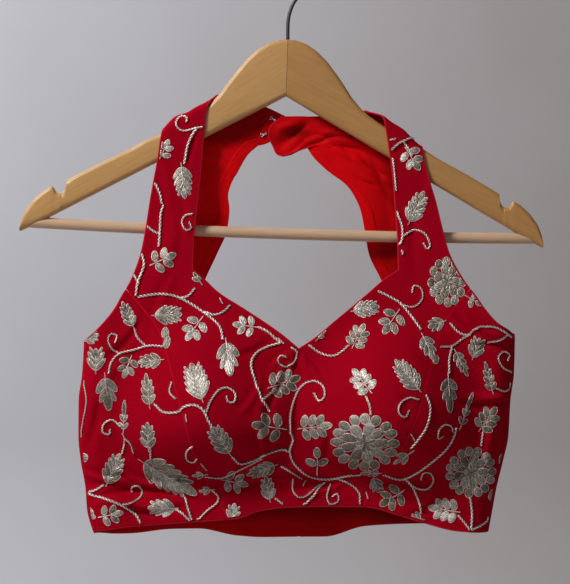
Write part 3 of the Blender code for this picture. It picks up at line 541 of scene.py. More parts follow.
def nearest(points, border, most=12.0, block=2000):
    # distance from each point to the nearest border point, in blocks, capped
    if not len(border):
        return np.full(len(points), most)
    found = [np.sqrt(((points[k:k + block, None] - border[None]) ** 2).sum(-1).min(1))
             for k in range(0, len(points), block)]
    return np.minimum(np.concatenate(found), most)


rimLook = {"steps": 4, "bulge": 0.55, "seamBulge": 0.02, "crisp": 60.0}


def closeShell(name, points, normals, faces, uv, wall, materials, sewn):
    # outer face, inner face = outer - normal * wall, joined by a round rim:
    # rim = middle + normal * wall/2 * cos a + outward * bulge * sin a.
    # sewn holds the numbers of the points that lie on seams, where the rim stays flat
    count = len(points)
    border = borderOf(faces)
    ring = np.unique(border)
    place = np.full(count, -1)
    place[ring] = np.arange(len(ring))
    outward = np.zeros((count, 3))
    push = np.cross(points[border[:, 1]] - points[border[:, 0]], normals[border[:, 0]])
    for end in (0, 1):
        np.add.at(outward, border[:, end], push)
    outward = unit(outward[ring])
    isSewn = np.isin(ring, sewn)
    bulge = np.where(isSewn, rimLook["seamBulge"], rimLook["bulge"])[:, None]
    middle = points[ring] - normals[ring] * wall / 2
    rows = [ring]
    every = [points, points - normals * wall]
    for k in range(1, rimLook["steps"]):
        a = math.pi * k / rimLook["steps"]
        every.append(middle + normals[ring] * wall / 2 * math.cos(a)
                     + outward * bulge * math.sin(a))
        rows.append(2 * count + (k - 1) * len(ring) + np.arange(len(ring)))
    rows.append(ring + count)
    start, end = place[border[:, 0]], place[border[:, 1]]
    rim = np.concatenate([np.stack([upper[end], upper[start], lower[start], lower[end]], -1)
                          for upper, lower in zip(rows, rows[1:])])
    allFaces = np.concatenate([faces, faces[:, ::-1] + count, rim])
    slots = np.repeat([0, 1, 0], [len(faces), len(faces), len(rim)])
    source = np.concatenate([np.arange(count)] * 2 + [ring] * (rimLook["steps"] - 1))
    marks = {"edgeMm": nearest(points, points[ring[~isSewn]])[source],
             "seamMm": nearest(points, points[ring[isSewn]])[source]}
    return makeMesh(name, np.concatenate(every), allFaces, materials, slots, uv[source],
                    marks, rimLook["crisp"])


def clothUv(side, q, z):
    # girth measured from the centre line and height, in metres
    sign = -1.0 if side == "left" else 1.0
    return np.stack([sign * (girth(cut["centreX"], z, side) - q), z], -1).reshape(-1, 2) * mm


def makePanel(name, surface, side, q, z, wall, materials, sewnEdges, lift=0.0):
    # one cloth piece on its surface; sewnEdges says which edges of the grid are seams
    points, normals = [part.reshape(-1, 3) for part in onCloth(surface, side, q, z)]
    index = np.arange(q.size).reshape(q.shape)
    sewn = np.zeros(q.shape, bool)
    for edge in sewnEdges:
        sewn[edge] = True
    faces = gridQuads(index, panelFlip(surface, side))
    return closeShell(name, points + normals * lift, normals, faces, clothUv(side, q, z),
                      wall, materials, index[sewn])


def makeFrontCentre(materials):
    # two halves that share the centre line from the point of the neckline down
    ql, zl, pointRow, onSeamL = centreHalf("left")
    qr, zr, pointRow, onSeamR = centreHalf("right")
    left, leftNormal = [part.reshape(-1, 3) for part in onCloth("front", "left", ql, zl)]
    right, rightNormal = [part.reshape(-1, 3) for part in onCloth("front", "right", qr, zr)]
    leftIndex = np.arange(len(left)).reshape(ql.shape)
    shared = np.zeros(qr.shape, bool)
    shared[pointRow:, -1] = True
    rightIndex = np.full(qr.shape, -1)
    rightIndex[~shared] = len(left) + np.arange(int((~shared).sum()))
    rightIndex[shared] = leftIndex[shared]
    keep = ~shared.reshape(-1)
    seam = leftIndex[pointRow:, -1]
    leftNormal[seam] = unit(leftNormal[seam] + rightNormal[~keep])
    points = np.concatenate([left, right[keep]])
    normals = np.concatenate([leftNormal, rightNormal[keep]])
    uv = np.concatenate([clothUv("left", ql, zl), clothUv("right", qr, zr)[keep]])
    faces = np.concatenate([gridQuads(leftIndex, False), gridQuads(rightIndex, True)])
    sewn = np.concatenate([leftIndex[onSeamL, 0], rightIndex[onSeamR, 0],
                           leftIndex[0], rightIndex[0]])
    return closeShell("front_centre_cloth", points, normals, faces, uv, cut["wall"],
                      materials, sewn)


# shader sums
def fill(tree, slot, part):
    # links a Value to a socket, or sets a plain number, colour or vector on it
    if isinstance(part, Value):
        tree.links.new(part.socket, slot)
    elif part is not None:
        slot.default_value = part


class Value:
    # a number on a node's socket; sums with it add Math nodes
    def __init__(self, tree, socket):
        self.tree = tree
        self.socket = socket

    def math(self, operation, other=None, swap=False):
        node = self.tree.nodes.new("ShaderNodeMath")
        node.operation = operation
        for slot, part in zip(node.inputs, (other, self) if swap else (self, other)):
            fill(self.tree, slot, part)
        return Value(self.tree, node.outputs[0])

    def __add__(self, other):
        return self.math("ADD", other)

    def __sub__(self, other):
        return self.math("SUBTRACT", other)

    def __rsub__(self, other):
        return self.math("SUBTRACT", other, True)

    def __mul__(self, other):
        return self.math("MULTIPLY", other)

    def __truediv__(self, other):
        return self.math("DIVIDE", other)

    def __rtruediv__(self, other):
        return self.math("DIVIDE", other, True)

    __radd__ = __add__
    __rmul__ = __mul__

    def sine(self):
        return self.math("SINE")

    def size(self):
        return self.math("ABSOLUTE")

    def clipped(self):
        return self.math("MAXIMUM", 0.0).math("MINIMUM", 1.0)

    def near(self, middle, reach):
        # 1 at the middle, falling to 0 at reach from it
        return (1.0 - (self - middle).size() / reach).clipped()


class Finish:
    # one material: its node tree and its Principled shader
    labels = {"metal": "Metallic", "coat": "Coat Weight", "coatRough": "Coat Roughness",
              "rough": "Roughness", "specular": "Specular IOR Level"}

    def __init__(self, name, **sockets):
        self.material = bpy.data.materials.new(name)
        self.material.use_nodes = True
        self.tree = self.material.node_tree
        self.shader = self.tree.nodes["Principled BSDF"]
        for key, value in sockets.items():
            self.shader.inputs[self.labels[key]].default_value = value

    def node(self, kind, settings=None, values=None, out=0):
        made = self.tree.nodes.new(kind)
        for key, value in (settings or {}).items():
            setattr(made, key, value)
        for key, value in (values or {}).items():
            fill(self.tree, made.inputs[key], value)
        return Value(self.tree, made.outputs[out])

    def place(self):
        return self.node("ShaderNodeTexCoord", out="Object")

    def clothPlace(self):
        return self.node("ShaderNodeUVMap", {"uv_map": "cloth"})

    def parts(self, place):
        # x, y and z of a place
        node = self.node("ShaderNodeSeparateXYZ", {}, {"Vector": place}).socket.node
        return [Value(self.tree, socket) for socket in node.outputs]

    def stretched(self, place, scale, turn=0.0):
        # turned about the Y axis first, then stretched
        if turn:
            place = self.node("ShaderNodeMapping", {},
                              {"Vector": place, "Rotation": (0.0, turn, 0.0)})
        return self.node("ShaderNodeMapping", {}, {"Vector": place, "Scale": scale})

    def noise(self, place, scale, detail=3.0, roughness=0.55, distortion=0.0):
        return self.node("ShaderNodeTexNoise", {"noise_dimensions": "3D"},
                         {"Vector": place, "Scale": scale, "Detail": detail,
                          "Roughness": roughness, "Distortion": distortion})

    def mark(self, name):
        return self.node("ShaderNodeAttribute", {"attribute_name": name}, out="Fac")

    def mixed(self, factor, first, second):
        return self.node("ShaderNodeMix", {"data_type": "RGBA"},
                         {0: factor, 6: first, 7: second}, out=2)

    def feed(self, label, value):
        self.tree.links.new(value.socket, self.shader.inputs[label])

    def bump(self, height, distance):
        self.feed("Normal", self.node("ShaderNodeBump", {}, {
            "Height": height, "Distance": distance, "Strength": 1.0}))


def rgb(red, green, blue):
    return (red, green, blue, 1.0)


# edge is the colour of the painted highlight on the free edges; deep is the dark of the slubs and
# also the painted shade beside the seams
silk = {"crimson": rgb(0.37, 0.0006, 0.0105), "deep": rgb(0.23, 0.0003, 0.006),
        "slub": rgb(0.46, 0.0014, 0.018), "edge": rgb(0.60, 0.03, 0.05),
        "seam": rgb(0.66, 0.004, 0.026), "rough": 0.75, "specular": 0.012,
        "slubScale": (90.0, 1300.0, 1.0), "warpScale": (1500.0, 160.0, 1.0), "cloudScale": 22.0,
        "edgeWide": 0.9, "stitchIn": 3.1, "stitchWide": 0.5, "seamWide": 0.85,
        "hollowAt": 1.3, "hollowWide": 0.7, "seamCore": 1.15, "edgeShare": 0.5,
        "seamShare": 0.62, "stitchShare": 0.2, "hollowShare": 0.2, "threadBump": 0.00012}


def makeSilk():
    # crimson raw silk: uneven slubs along the weft, fine grain, a painted highlight on the turned
    # edge
    # a paler line on the seams, with painted shade in the hollow beside them
    look = Finish("crimson raw silk", rough=silk["rough"], specular=silk["specular"])
    uv = look.clothPlace()
    slub = look.noise(look.stretched(uv, silk["slubScale"]), 1.0, 3.0, 0.6)
    warp = look.noise(look.stretched(uv, silk["warpScale"]), 1.0, 2.0, 0.5)
    cloud = look.noise(uv, silk["cloudScale"], 4.0, 0.6)
    shade = ((slub - 0.5) * 1.3 + (warp - 0.5) * 0.7 + (cloud - 0.5) * 0.9 + 0.5).clipped()
    colour = look.mixed(shade, silk["deep"], silk["slub"])
    colour = look.mixed(0.6, colour, silk["crimson"])
    edgeGap = look.mark("edgeMm")
    # painted highlight along the free edges
    edgeHighlight = (1.0 - edgeGap / silk["edgeWide"]).clipped()
    stitchLine = edgeGap.near(silk["stitchIn"], silk["stitchWide"])
    seamGap = look.mark("seamMm")
    seamLine = (silk["seamCore"] - seamGap / silk["seamWide"]).clipped()
    # painted shade in the hollow beside the seams
    seamShade = seamGap.near(silk["hollowAt"], silk["hollowWide"])
    bright = (seamLine * silk["seamShare"] + stitchLine * silk["stitchShare"]).clipped()
    colour = look.mixed(edgeHighlight * silk["edgeShare"], colour, silk["edge"])
    colour = look.mixed(bright, colour, silk["seam"])
    colour = look.mixed(seamShade * silk["hollowShare"], colour, silk["deep"])
    look.feed("Base Color", colour)
    height = slub * 0.6 + warp * 0.5 - stitchLine * 0.6 - seamShade * 0.4
    look.bump(height, silk["threadBump"])
    return look.material


# Zones of the lining are in metres; low is the dark colour of its painted shade and of its stitch
# line
lining = {"bright": rgb(0.79, 0.0028, 0.0062), "shade": rgb(0.50, 0.0012, 0.0035),
          "low": rgb(0.20, 0.0005, 0.0020), "lowFrom": -0.30, "lowRun": 0.11,
          "hemFrom": -0.478, "hemRun": 0.010, "neckFrom": -0.168, "neckRun": 0.010,
          "neckLeft": -0.018, "sideFrom": 0.060, "sideRun": 0.022, "paleFrom": 0.045,
          "pocketX": -0.004, "pocketZ": -0.1525, "pocketWide": 0.015, "pocketHigh": 0.0055,
          "stitchIn": 1.6, "stitchWide": 0.5, "weave": (1400.0, 1400.0, 1.0), "rough": 0.5,
          "specular": 0.03, "threadBump": 0.00008}


def makeLining(name, cloudSize, strip):
    # red lining with a fine even weave, with painted shade where little light comes in. Each
    # zone of painted shade is clip(distance past its border / run): in the band from z down, at
    # the neck from z up and most on its left end, beside the right strap from x out; the painted
    # shade in the pocket of the right neck end is 1 - d^2 of an oval; painted light makes the
    # turned hem strip, below the front hem's shadow, and the left side paler
    def past(ahead, behind, run):
        return ((ahead - behind) / lining[run]).clipped()
    look = Finish(name, rough=lining["rough"], specular=lining["specular"])
    uv = look.clothPlace()
    weave = look.noise(look.stretched(uv, lining["weave"]), 1.0, 2.0, 0.5)
    cloud = look.noise(uv, cloudSize, 3.0, 0.6)
    x, z = look.parts(look.place())[::2]
    x = x - cut["centreX"] * mm
    # painted light that makes the left side paler
    pale = past(-lining["paleFrom"], x, "sideRun")
    tone = ((cloud - 0.5) * 2.2 + (weave - 0.5) * 0.4 + 0.58 + strip + pale * 0.5).clipped()
    colour = look.mixed(tone, lining["shade"], lining["bright"])
    # zones of painted shade; the hem strip is painted light below the front hem's shadow
    low = past(lining["lowFrom"], z, "lowRun")
    hem = past(lining["hemFrom"], z, "hemRun")
    neck = past(z, lining["neckFrom"], "neckRun")
    beside = past(x + cloud * 0.012, lining["sideFrom"], "sideRun")
    neckLeft = past(lining["neckLeft"], x, "neckRun")
    acrossPocket = (x - lining["pocketX"]) / lining["pocketWide"]
    upPocket = (z - lining["pocketZ"]) / lining["pocketHigh"]
    pocket = (1.0 - acrossPocket * acrossPocket - upPocket * upPocket).clipped()
    dark = (neck * (neckLeft * 0.45 + 0.28) + beside * 0.5).clipped()
    stitchLine = look.mark("edgeMm").near(lining["stitchIn"], lining["stitchWide"])
    # mix in the dark: painted shade of the band less the painted light at the hem, painted shade
    # at the neck, beside the strap and in the pocket, and the stitch line
    for share in (low * 0.85 - hem * 0.45, dark * (1.0 - strip * 2.0),
                  (pocket * 1.6).clipped() * 0.7, stitchLine * 0.3):
        colour = look.mixed(share, colour, lining["low"])
    look.feed("Base Color", colour)
    look.bump(weave, lining["threadBump"])
    return look.material


# For each kind of stitching: the dark and the light of its thread, how metallic it is, how
# the threads slant, their step in mm, their bump, and the weights a, b, c, d of its tone
zari = {"rough": 0.3, "fineSize": 900.0, "glintSize": 620.0, "glintBump": 0.0006,
        "satin": (rgb(0.128, 0.105, 0.066), rgb(0.90, 0.86, 0.79), 0.75, 0.3, 1.4, 0.5,
                  (0.35, 1.1, 1.0, -0.36)),
        # the pink of the outline's and cord's light and the red of their dark are a painted
        # reflection of the red cloth
        "outline": (rgb(0.18, 0.11, 0.085), rgb(1.0, 0.88, 0.83), 0.6, 1.2, 0.9, 0.12,
                    (0.1, 1.3, 0.95, 0.0)),
        "cord": (rgb(0.12, 0.035, 0.035), rgb(1.0, 0.86, 0.82), 0.5, 1.2, 0.9, 0.12,
                 (0.1, 1.0, 1.15, -0.2))}


def makeZari(kind):
    # metal thread: tone = threads * a + painted glints * b + shade * c + d, where the attribute
    # "shade" differs at random from petal to petal and carries painted highlights and painted
    # shade, also along a cord; the threads run lengthwise
    dark, light, metal, slant, step, threadBump, (a, b, c, d) = zari[kind]
    look = Finish("metal thread " + kind, metal=metal, specular=0.5)
    uv = look.clothPlace()
    lengthwise, crosswise = look.parts(uv)[:2]
    fine = look.noise(uv, zari["fineSize"], 2.0, 0.6)
    # glints: painted into the colour, and also a bump
    glint = look.noise(look.place(), zari["glintSize"], 2.0, 0.55)
    phase = (crosswise + lengthwise * slant) * (2 * math.pi / (step * mm))
    thread = (phase + fine * 3.0).sine() * 0.5 + 0.5
    tone = (thread * a + (glint - 0.5) * b + look.mark("shade") * c + d).clipped()
    look.feed("Base Color", look.mixed(tone, dark, light))
    look.feed("Roughness", (1.0 - tone) * 0.25 + zari["rough"])
    look.bump(thread * threadBump + glint, zari["glintBump"])
    return look.material


# The light and the dark of each piece of wood, and how its grain is turned
wood = {"arm wood left": (rgb(0.63, 0.355, 0.128), rgb(0.47, 0.24, 0.076), 0.52),
        "arm wood right": (rgb(0.53, 0.275, 0.084), rgb(0.39, 0.18, 0.048), -0.46),
        "bar wood": (rgb(0.69, 0.465, 0.305), rgb(0.50, 0.305, 0.178), 0.03)}
grain = {"rough": 0.4, "scale": 34.0, "streaks": (1.0, 13.0, 13.0), "poreSize": 2.2,
         "pores": (14.0, 420.0, 420.0), "lineBump": 0.00006, "joint": 0.45,
         "glue": rgb(0.07, 0.035, 0.015)}


def makeWood(name):
    # honey-coloured varnished wood: long streaks along the piece, fine pores, soft coat,
    # and a dark line where the two arms are glued, |across the joint| < joint
    light, dark, turn = wood[name]
    look = Finish(name, coat=0.3, coatRough=0.3, specular=0.35)
    place = look.place()
    streak = look.noise(look.stretched(place, grain["streaks"], turn), grain["scale"], 6.0,
                        0.6, 0.3)
    pores = look.noise(look.stretched(place, grain["pores"], turn), grain["poreSize"], 2.0, 0.6)
    tone = ((streak - 0.5) * 1.3 + (pores - 0.5) * 0.4 + 0.6).clipped()
    x, z = look.parts(place)[::2]
    level = (x - apex[0] * mm) * math.cos(tilt) - (z - apex[1] * mm) * math.sin(tilt)
    joint = level.near(0.0, grain["joint"] * mm) * (0.8 if "arm" in name else 0.0)
    look.feed("Base Color", look.mixed(joint, look.mixed(tone, dark, light), grain["glue"]))
    look.feed("Roughness", (1.0 - tone) * 0.16 + grain["rough"])
    look.bump(streak * 0.4 + pores, grain["lineBump"])
    return look.material


# Colour, roughness and size of the rubbing of each wire
steel = {"hook wire": (rgb(0.11, 0.11, 0.12), 0.45, 600.0),
         "fastener wire": (rgb(0.72, 0.71, 0.70), 0.22, 900.0)}


def makeSteel(name):
    # drawn wire with faint rubbing along it
    colour, rough, scratch = steel[name]
    look = Finish(name, metal=1.0)
    rub = look.noise(look.place(), scratch, 3.0, 0.6)
    look.feed("Base Color", look.mixed(rub * 0.5, colour, rgb(*[c * 0.55 for c in colour[:3]])))
    look.feed("Roughness", rub * 0.2 + rough)
    return look.material


threadLook = {"colour": rgb(0.33, 0.0008, 0.010), "rough": 0.7, "specular": 0.02,
              "twist": 2200.0}


def makeThread():
    # sewing thread a little brighter than the cloth
    look = Finish("red sewing thread", rough=threadLook["rough"],
                  specular=threadLook["specular"])
    twist = look.noise(look.place(), threadLook["twist"], 2.0, 0.5)
    look.feed("Base Color", look.mixed(twist * 0.1, threadLook["colour"], silk["edge"]))
    return look.material


print("finishes")
shellCloth = [makeSilk(), makeLining("red lining", 24.0, 0.0)]
facingCloth = makeLining("facing cloth", 12.0, 0.2)


# cloth pieces
def finishPiece(item, slotName, *nodes):
    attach(item, "root")
    if nodes:
        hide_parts(*nodes)
    return item


def makeCloth():
    # every cloth piece by its node's name; the edges named in the lists are seams
    pieces = {"front_centre": finishPiece(makeFrontCentre(shellCloth), "front_centre",
                                          "front_centre")}

    def add(name, slotName, surface, side, *rest):
        item = makePanel(name + "_cloth", surface, side, *rest)
        pieces[name] = finishPiece(item, slotName, name)

    for side in sides:
        q, z = sideFront(side)
        name = "side_front_" + side
        add(name, name, "front", side, q, z, cut["wall"], shellCloth,
            [(slice(None), 0), (slice(None), -1)])
        q, z, innerZ = backNet(side)
        name = "back_" + side
        add(name, name, "back", side, q, z, cut["wall"], shellCloth,
            [(0, slice(None)), (innerZ <= cut["keyholeFootZ"], -1),
             (z[:, 0] <= cut["armholeTop"][side], 0)])
        keep = (innerZ < cut["facingTop"][side]) & (innerZ > cut["keyholeFootZ"] + 3.0)
        strip = slice(-1 - cut["fine"], None)
        add("keyhole_facing_" + side, "facing", "back", side, q[keep, strip], z[keep, strip],
            cut["facingWall"], [facingCloth, facingCloth], [],
            -(cut["wall"] + cut["facingGap"]))
    return pieces


clothPieces = makeCloth()
print("cloth pieces", len(clothPieces))


# paths and cords
def curveThrough(points, step):
    # Catmull-Rom through the points, then even steps along its length
    points = np.asarray(points, float)
    knots = np.concatenate([2 * points[:1] - points[1:2], points,
                            2 * points[-1:] - points[-2:-1]])
    t = np.linspace(0, 1, 24, endpoint=False)[:, None]
    a, b, c, d = knots[:-3, None], knots[1:-2, None], knots[2:-1, None], knots[3:, None]
    path = 0.5 * (2 * b + (c - a) * t + (2 * a - 5 * b + 4 * c - d) * t ** 2
                  + (3 * b - a - 3 * c + d) * t ** 3)
    path = np.concatenate([path.reshape(-1, points.shape[1]), points[-1:]])
    run = lengthAlong(path)
    return rowsAt(path, np.linspace(0, run[-1], max(int(run[-1] / step), 2) + 1), run)


def rowsAt(rows, at, run):
    # the rows of a path at some distances along it
    return np.stack([np.interp(at, run, column) for column in rows.T], -1)


def tubeRings(path, normals, radius, sides):
    # ring k = path + radius * (normal * cos a + side * sin a), side = tangent x normal
    tangent = unit(np.gradient(path, axis=0))
    beside = unit(np.cross(tangent, normals))
    above = np.cross(beside, tangent)
    a = 2 * math.pi * np.arange(sides) / sides
    return path[:, None] + radius * (above[:, None] * np.cos(a)[None, :, None]
                                     + beside[:, None] * np.sin(a)[None, :, None])


def fan(hub, first, second):
    # triangles about a hub, as quads that repeat it
    hub = np.full(len(first), hub)
    return np.stack([hub, first, second, hub], -1)


def tubeFaces(rings, sides, closed=False):
    # quads round a tube, and its two ends closed by a point each unless it is a loop
    index = np.arange(rings * sides).reshape(rings, sides)
    if closed:
        index = np.concatenate([index, index[:1]])
    after = np.roll(index, -1, axis=1)
    quads = np.stack([index[:-1], after[:-1], after[1:], index[1:]], -1).reshape(-1, 4)
    if closed:
        return quads
    return np.concatenate([quads, fan(rings * sides, after[0], index[0]),
                           fan(rings * sides + 1, index[-1], after[-1])])


class Batch:
    # gathers many small closed shapes for one mesh
    def __init__(self):
        self.parts = []
        self.count = 0

    def add(self, points, faces, uv, shade):
        self.parts.append((points, faces + self.count, uv, shade))
        self.count += len(points)

    def tube(self, path, normals, radius, sides, shade=1.0, closed=False):
        points = tubeRings(path, normals, radius, sides).reshape(-1, 3)
        around = 2 * np.arange(sides) / sides
        uv = np.stack(np.broadcast_arrays(lengthAlong(path)[:, None], around[None, :]), -1)
        uv = uv.reshape(-1, 2) * mm
        shade = np.repeat(np.broadcast_to(np.asarray(shade, float), (len(path),)), sides)
        if not closed:
            points = np.concatenate([points, path[:1], path[-1:]])
            uv = np.concatenate([uv, uv[:1], uv[-1:]])
            shade = np.concatenate([shade, shade[:1], shade[-1:]])
        self.add(points, tubeFaces(len(path), sides, closed), uv, shade)

    def build(self, name, material, crisp=None):
        points, faces, uv, shade = [np.concatenate(part) for part in zip(*self.parts)]
        return makeTriangled(name, points, faces, material, uv, {"shade": shade}, crisp)


# places on the front
view = {"x": -4.6, "z": -289.4, "distance": 1800.0, "lens": 130.4, "sensor": 36.0,
        "middleU": 285.0, "middleV": 292.0, "mmPerPixel": 0.851}
insetLook = {"edge": 1.6, "hem": 2.2, "side": 3.0, "sideTop": -331.0}


def frontXz(u, v, rounds=4):
    # x and z on the front cloth under pixel (u, v) of the picture:
    # x = viewX + (u - middleU) * mmPerPixel * (1 + y / distance), with y from the cloth
    y = np.full(np.shape(u), -20.0)
    for k in range(rounds):
        size = view["mmPerPixel"] * (1 + y / view["distance"])
        x = view["x"] + (np.asarray(u, float) - view["middleU"]) * size
        z = view["z"] - (np.asarray(v, float) - view["middleV"]) * size
        y = onFront(x, z)[0][..., 1]
    return x, z


def onFront(x, z, lift=0.0):
    # point and normal of the front cloth at x and z, moved out by lift
    pick = (x < cut["centreX"])[..., None]
    left, right = [onCloth("front", side, np.maximum(girth(x, z, side), 0.5), z)
                   for side in sides]
    points, normals = [np.where(pick, a, b) for a, b in zip(left, right)]
    return points + normals * np.asarray(lift)[..., None], normals


def keepInside(x, z):
    # holds embroidery inside the panel's outline
    z = np.maximum(z, frontHem(x) + insetLook["hem"])
    edge = insetLook["edge"]
    low, high = [np.where(z > insetLook["sideTop"], smooth(armhole, z, side),
                          smooth(sideSeam, z, side) + inward * insetLook["side"])
                 for side, inward in (("left", 1), ("right", -1))]
    x = np.clip(x, low + edge, high - edge)
    above = z > cut["neckPointZ"]
    isLeft = x < cut["centreX"]
    x = np.where(above & isLeft, np.minimum(x, strapOrNeck(z, "left") - edge), x)
    x = np.where(above & ~isLeft, np.maximum(x, strapOrNeck(z, "right") + edge), x)
    return x, z


# embroidery
# Leaves: across and down in pixels, direction of the tip, length in mm, width share, pairs
leaves = (
    (183, 181, -84, 30, 0.58, 4), (198, 279, 125, 13, 0.7, 1), (228, 357, -82, 31, 0.62, 2),
    (128, 315, 114, 24, 0.5, 4), (167, 315, 2, 25, 0.72, 4), (151, 361, 186, 22, 0.62, 3),
    (107, 392, -84, 31, 0.6, 2), (96, 361, 90, 21, 0.85, 3), (207, 490.5, 186, 13, 0.6, 1),
    (320.5, 336, 46, 12, 0.5, 1), (197, 383, 108, 33, 0.68, 5), (148, 391, 98, 29, 0.44, 3),
    (124, 417, 88, 28, 0.3, 2), (148, 437, 92, 24, 0.6, 3), (221, 441, 122, 30, 0.6, 4),
    (113, 470, 66, 30, 0.6, 4), (168, 477, -32, 56, 0.48, 5), (200, 475, 186, 13, 0.6, 1),
    (262, 470, 200, 27, 0.5, 4), (163, 508, 178, 25, 0.66, 3), (233, 513, 80, 16, 0.8, 2),
    (268, 489, 100, 22, 0.6, 3), (91, 338, 24, 15, 0.75, 2), (365, 309, 10, 24, 0.66, 4),
    (428, 347, -66, 24, 0.56, 2), (408, 376, 128, 33, 0.55, 5), (437, 324, 200, 16, 0.8, 2),
    (449, 393, -88, 32, 0.46, 2), (476, 349, 70, 19, 0.8, 3), (489, 378, 104, 28, 0.36, 3),
    (461, 363, -64, 25, 0.4, 3), (466, 411, 68, 32, 0.26, 2), (371, 473, 182, 17, 0.4, 2),
    (376, 484, -70, 15, 0.8, 2), (416, 208, 64, 31, 0.56, 4), (404, 457, 215, 20, 0.6, 1),
    (418, 518, 150, 12, 0.8, 1))
# Sprigs of loose petals: across, down, direction, length, petals on each side
sprigs = (
    (164, 150, 64, 19, 2), (162, 260, 24, 25, 2), (195, 328, 235, 25, 2), (246, 326, 172, 22, 2),
    (128, 366, 250, 21, 2), (234, 482, -14, 24, 2), (110, 515, 12, 22, 2), (283, 383, 18, 30, 3),
    (270, 427, 170, 30, 2), (314, 427, 8, 30, 3), (317, 462, 90, 25, 1), (358, 337, 62, 24, 3),
    (392, 321, 235, 26, 2), (363, 382, 128, 26, 3), (473, 300, -30, 18, 1), (487, 420, 52, 26, 3),
    (445, 510, 172, 28, 3), (393, 497, 212, 26, 2), (412, 158, -58, 24, 2))
# Round flowers: across, down, radius across, radius down, outer petals, inner petals
flowers = (
    (365, 443, 28, 24.5, 16, 9), (471, 472, 21.5, 21.5, 15, 9), (447, 282, 16, 21, 12, 7))
# Painted highlights on all the metal thread, and painted shade where the amount is below zero:
# across, down, reach, amount
shines = (
    (228, 360, 16, 0.5), (197, 383, 18, 0.45), (247, 327, 15, 0.6), (363, 380, 16, 0.5),
    (360, 314, 16, 0.35), (163, 508, 18, 0.35), (445, 508, 18, 0.4), (356, 418, 14, 0.45),
    (172, 172, 22, 0.2), (157, 260, 22, 0.25), (405, 165, 20, 0.25), (185, 130, 20, 0.3),
    (410, 240, 16, 0.2), (180, 300, 26, 0.15), (410, 210, 16, 0.15), (100, 515, 14, 0.3),
    (195, 330, 16, 0.25), (235, 518, 14, 0.3), (410, 380, 16, 0.2), (268, 500, 12, 0.2),
    (300, 400, 16, 0.15), (110, 480, 20, 0.1), (395, 450, 20, -0.12), (250, 475, 30, -0.1),
    (385, 490, 36, -0.15), (470, 450, 34, -0.08), (440, 420, 26, -0.15), (320, 480, 40, -0.12))
# Single petals: across, down, direction, length and width in mm
petals = (
    (165.4, 333, 90, 9, 5.8), (167, 342.5, 76, 9.5, 5.2), (84, 457.5, 20, 8, 7),
    (90, 511, -30, 8, 5), (92, 516, -20, 7, 4.5), (435.8, 359.8, 74, 6.5, 4.6),
    (501.5, 458.5, 86, 8, 5), (491.5, 494.5, 74, 9, 5.5))
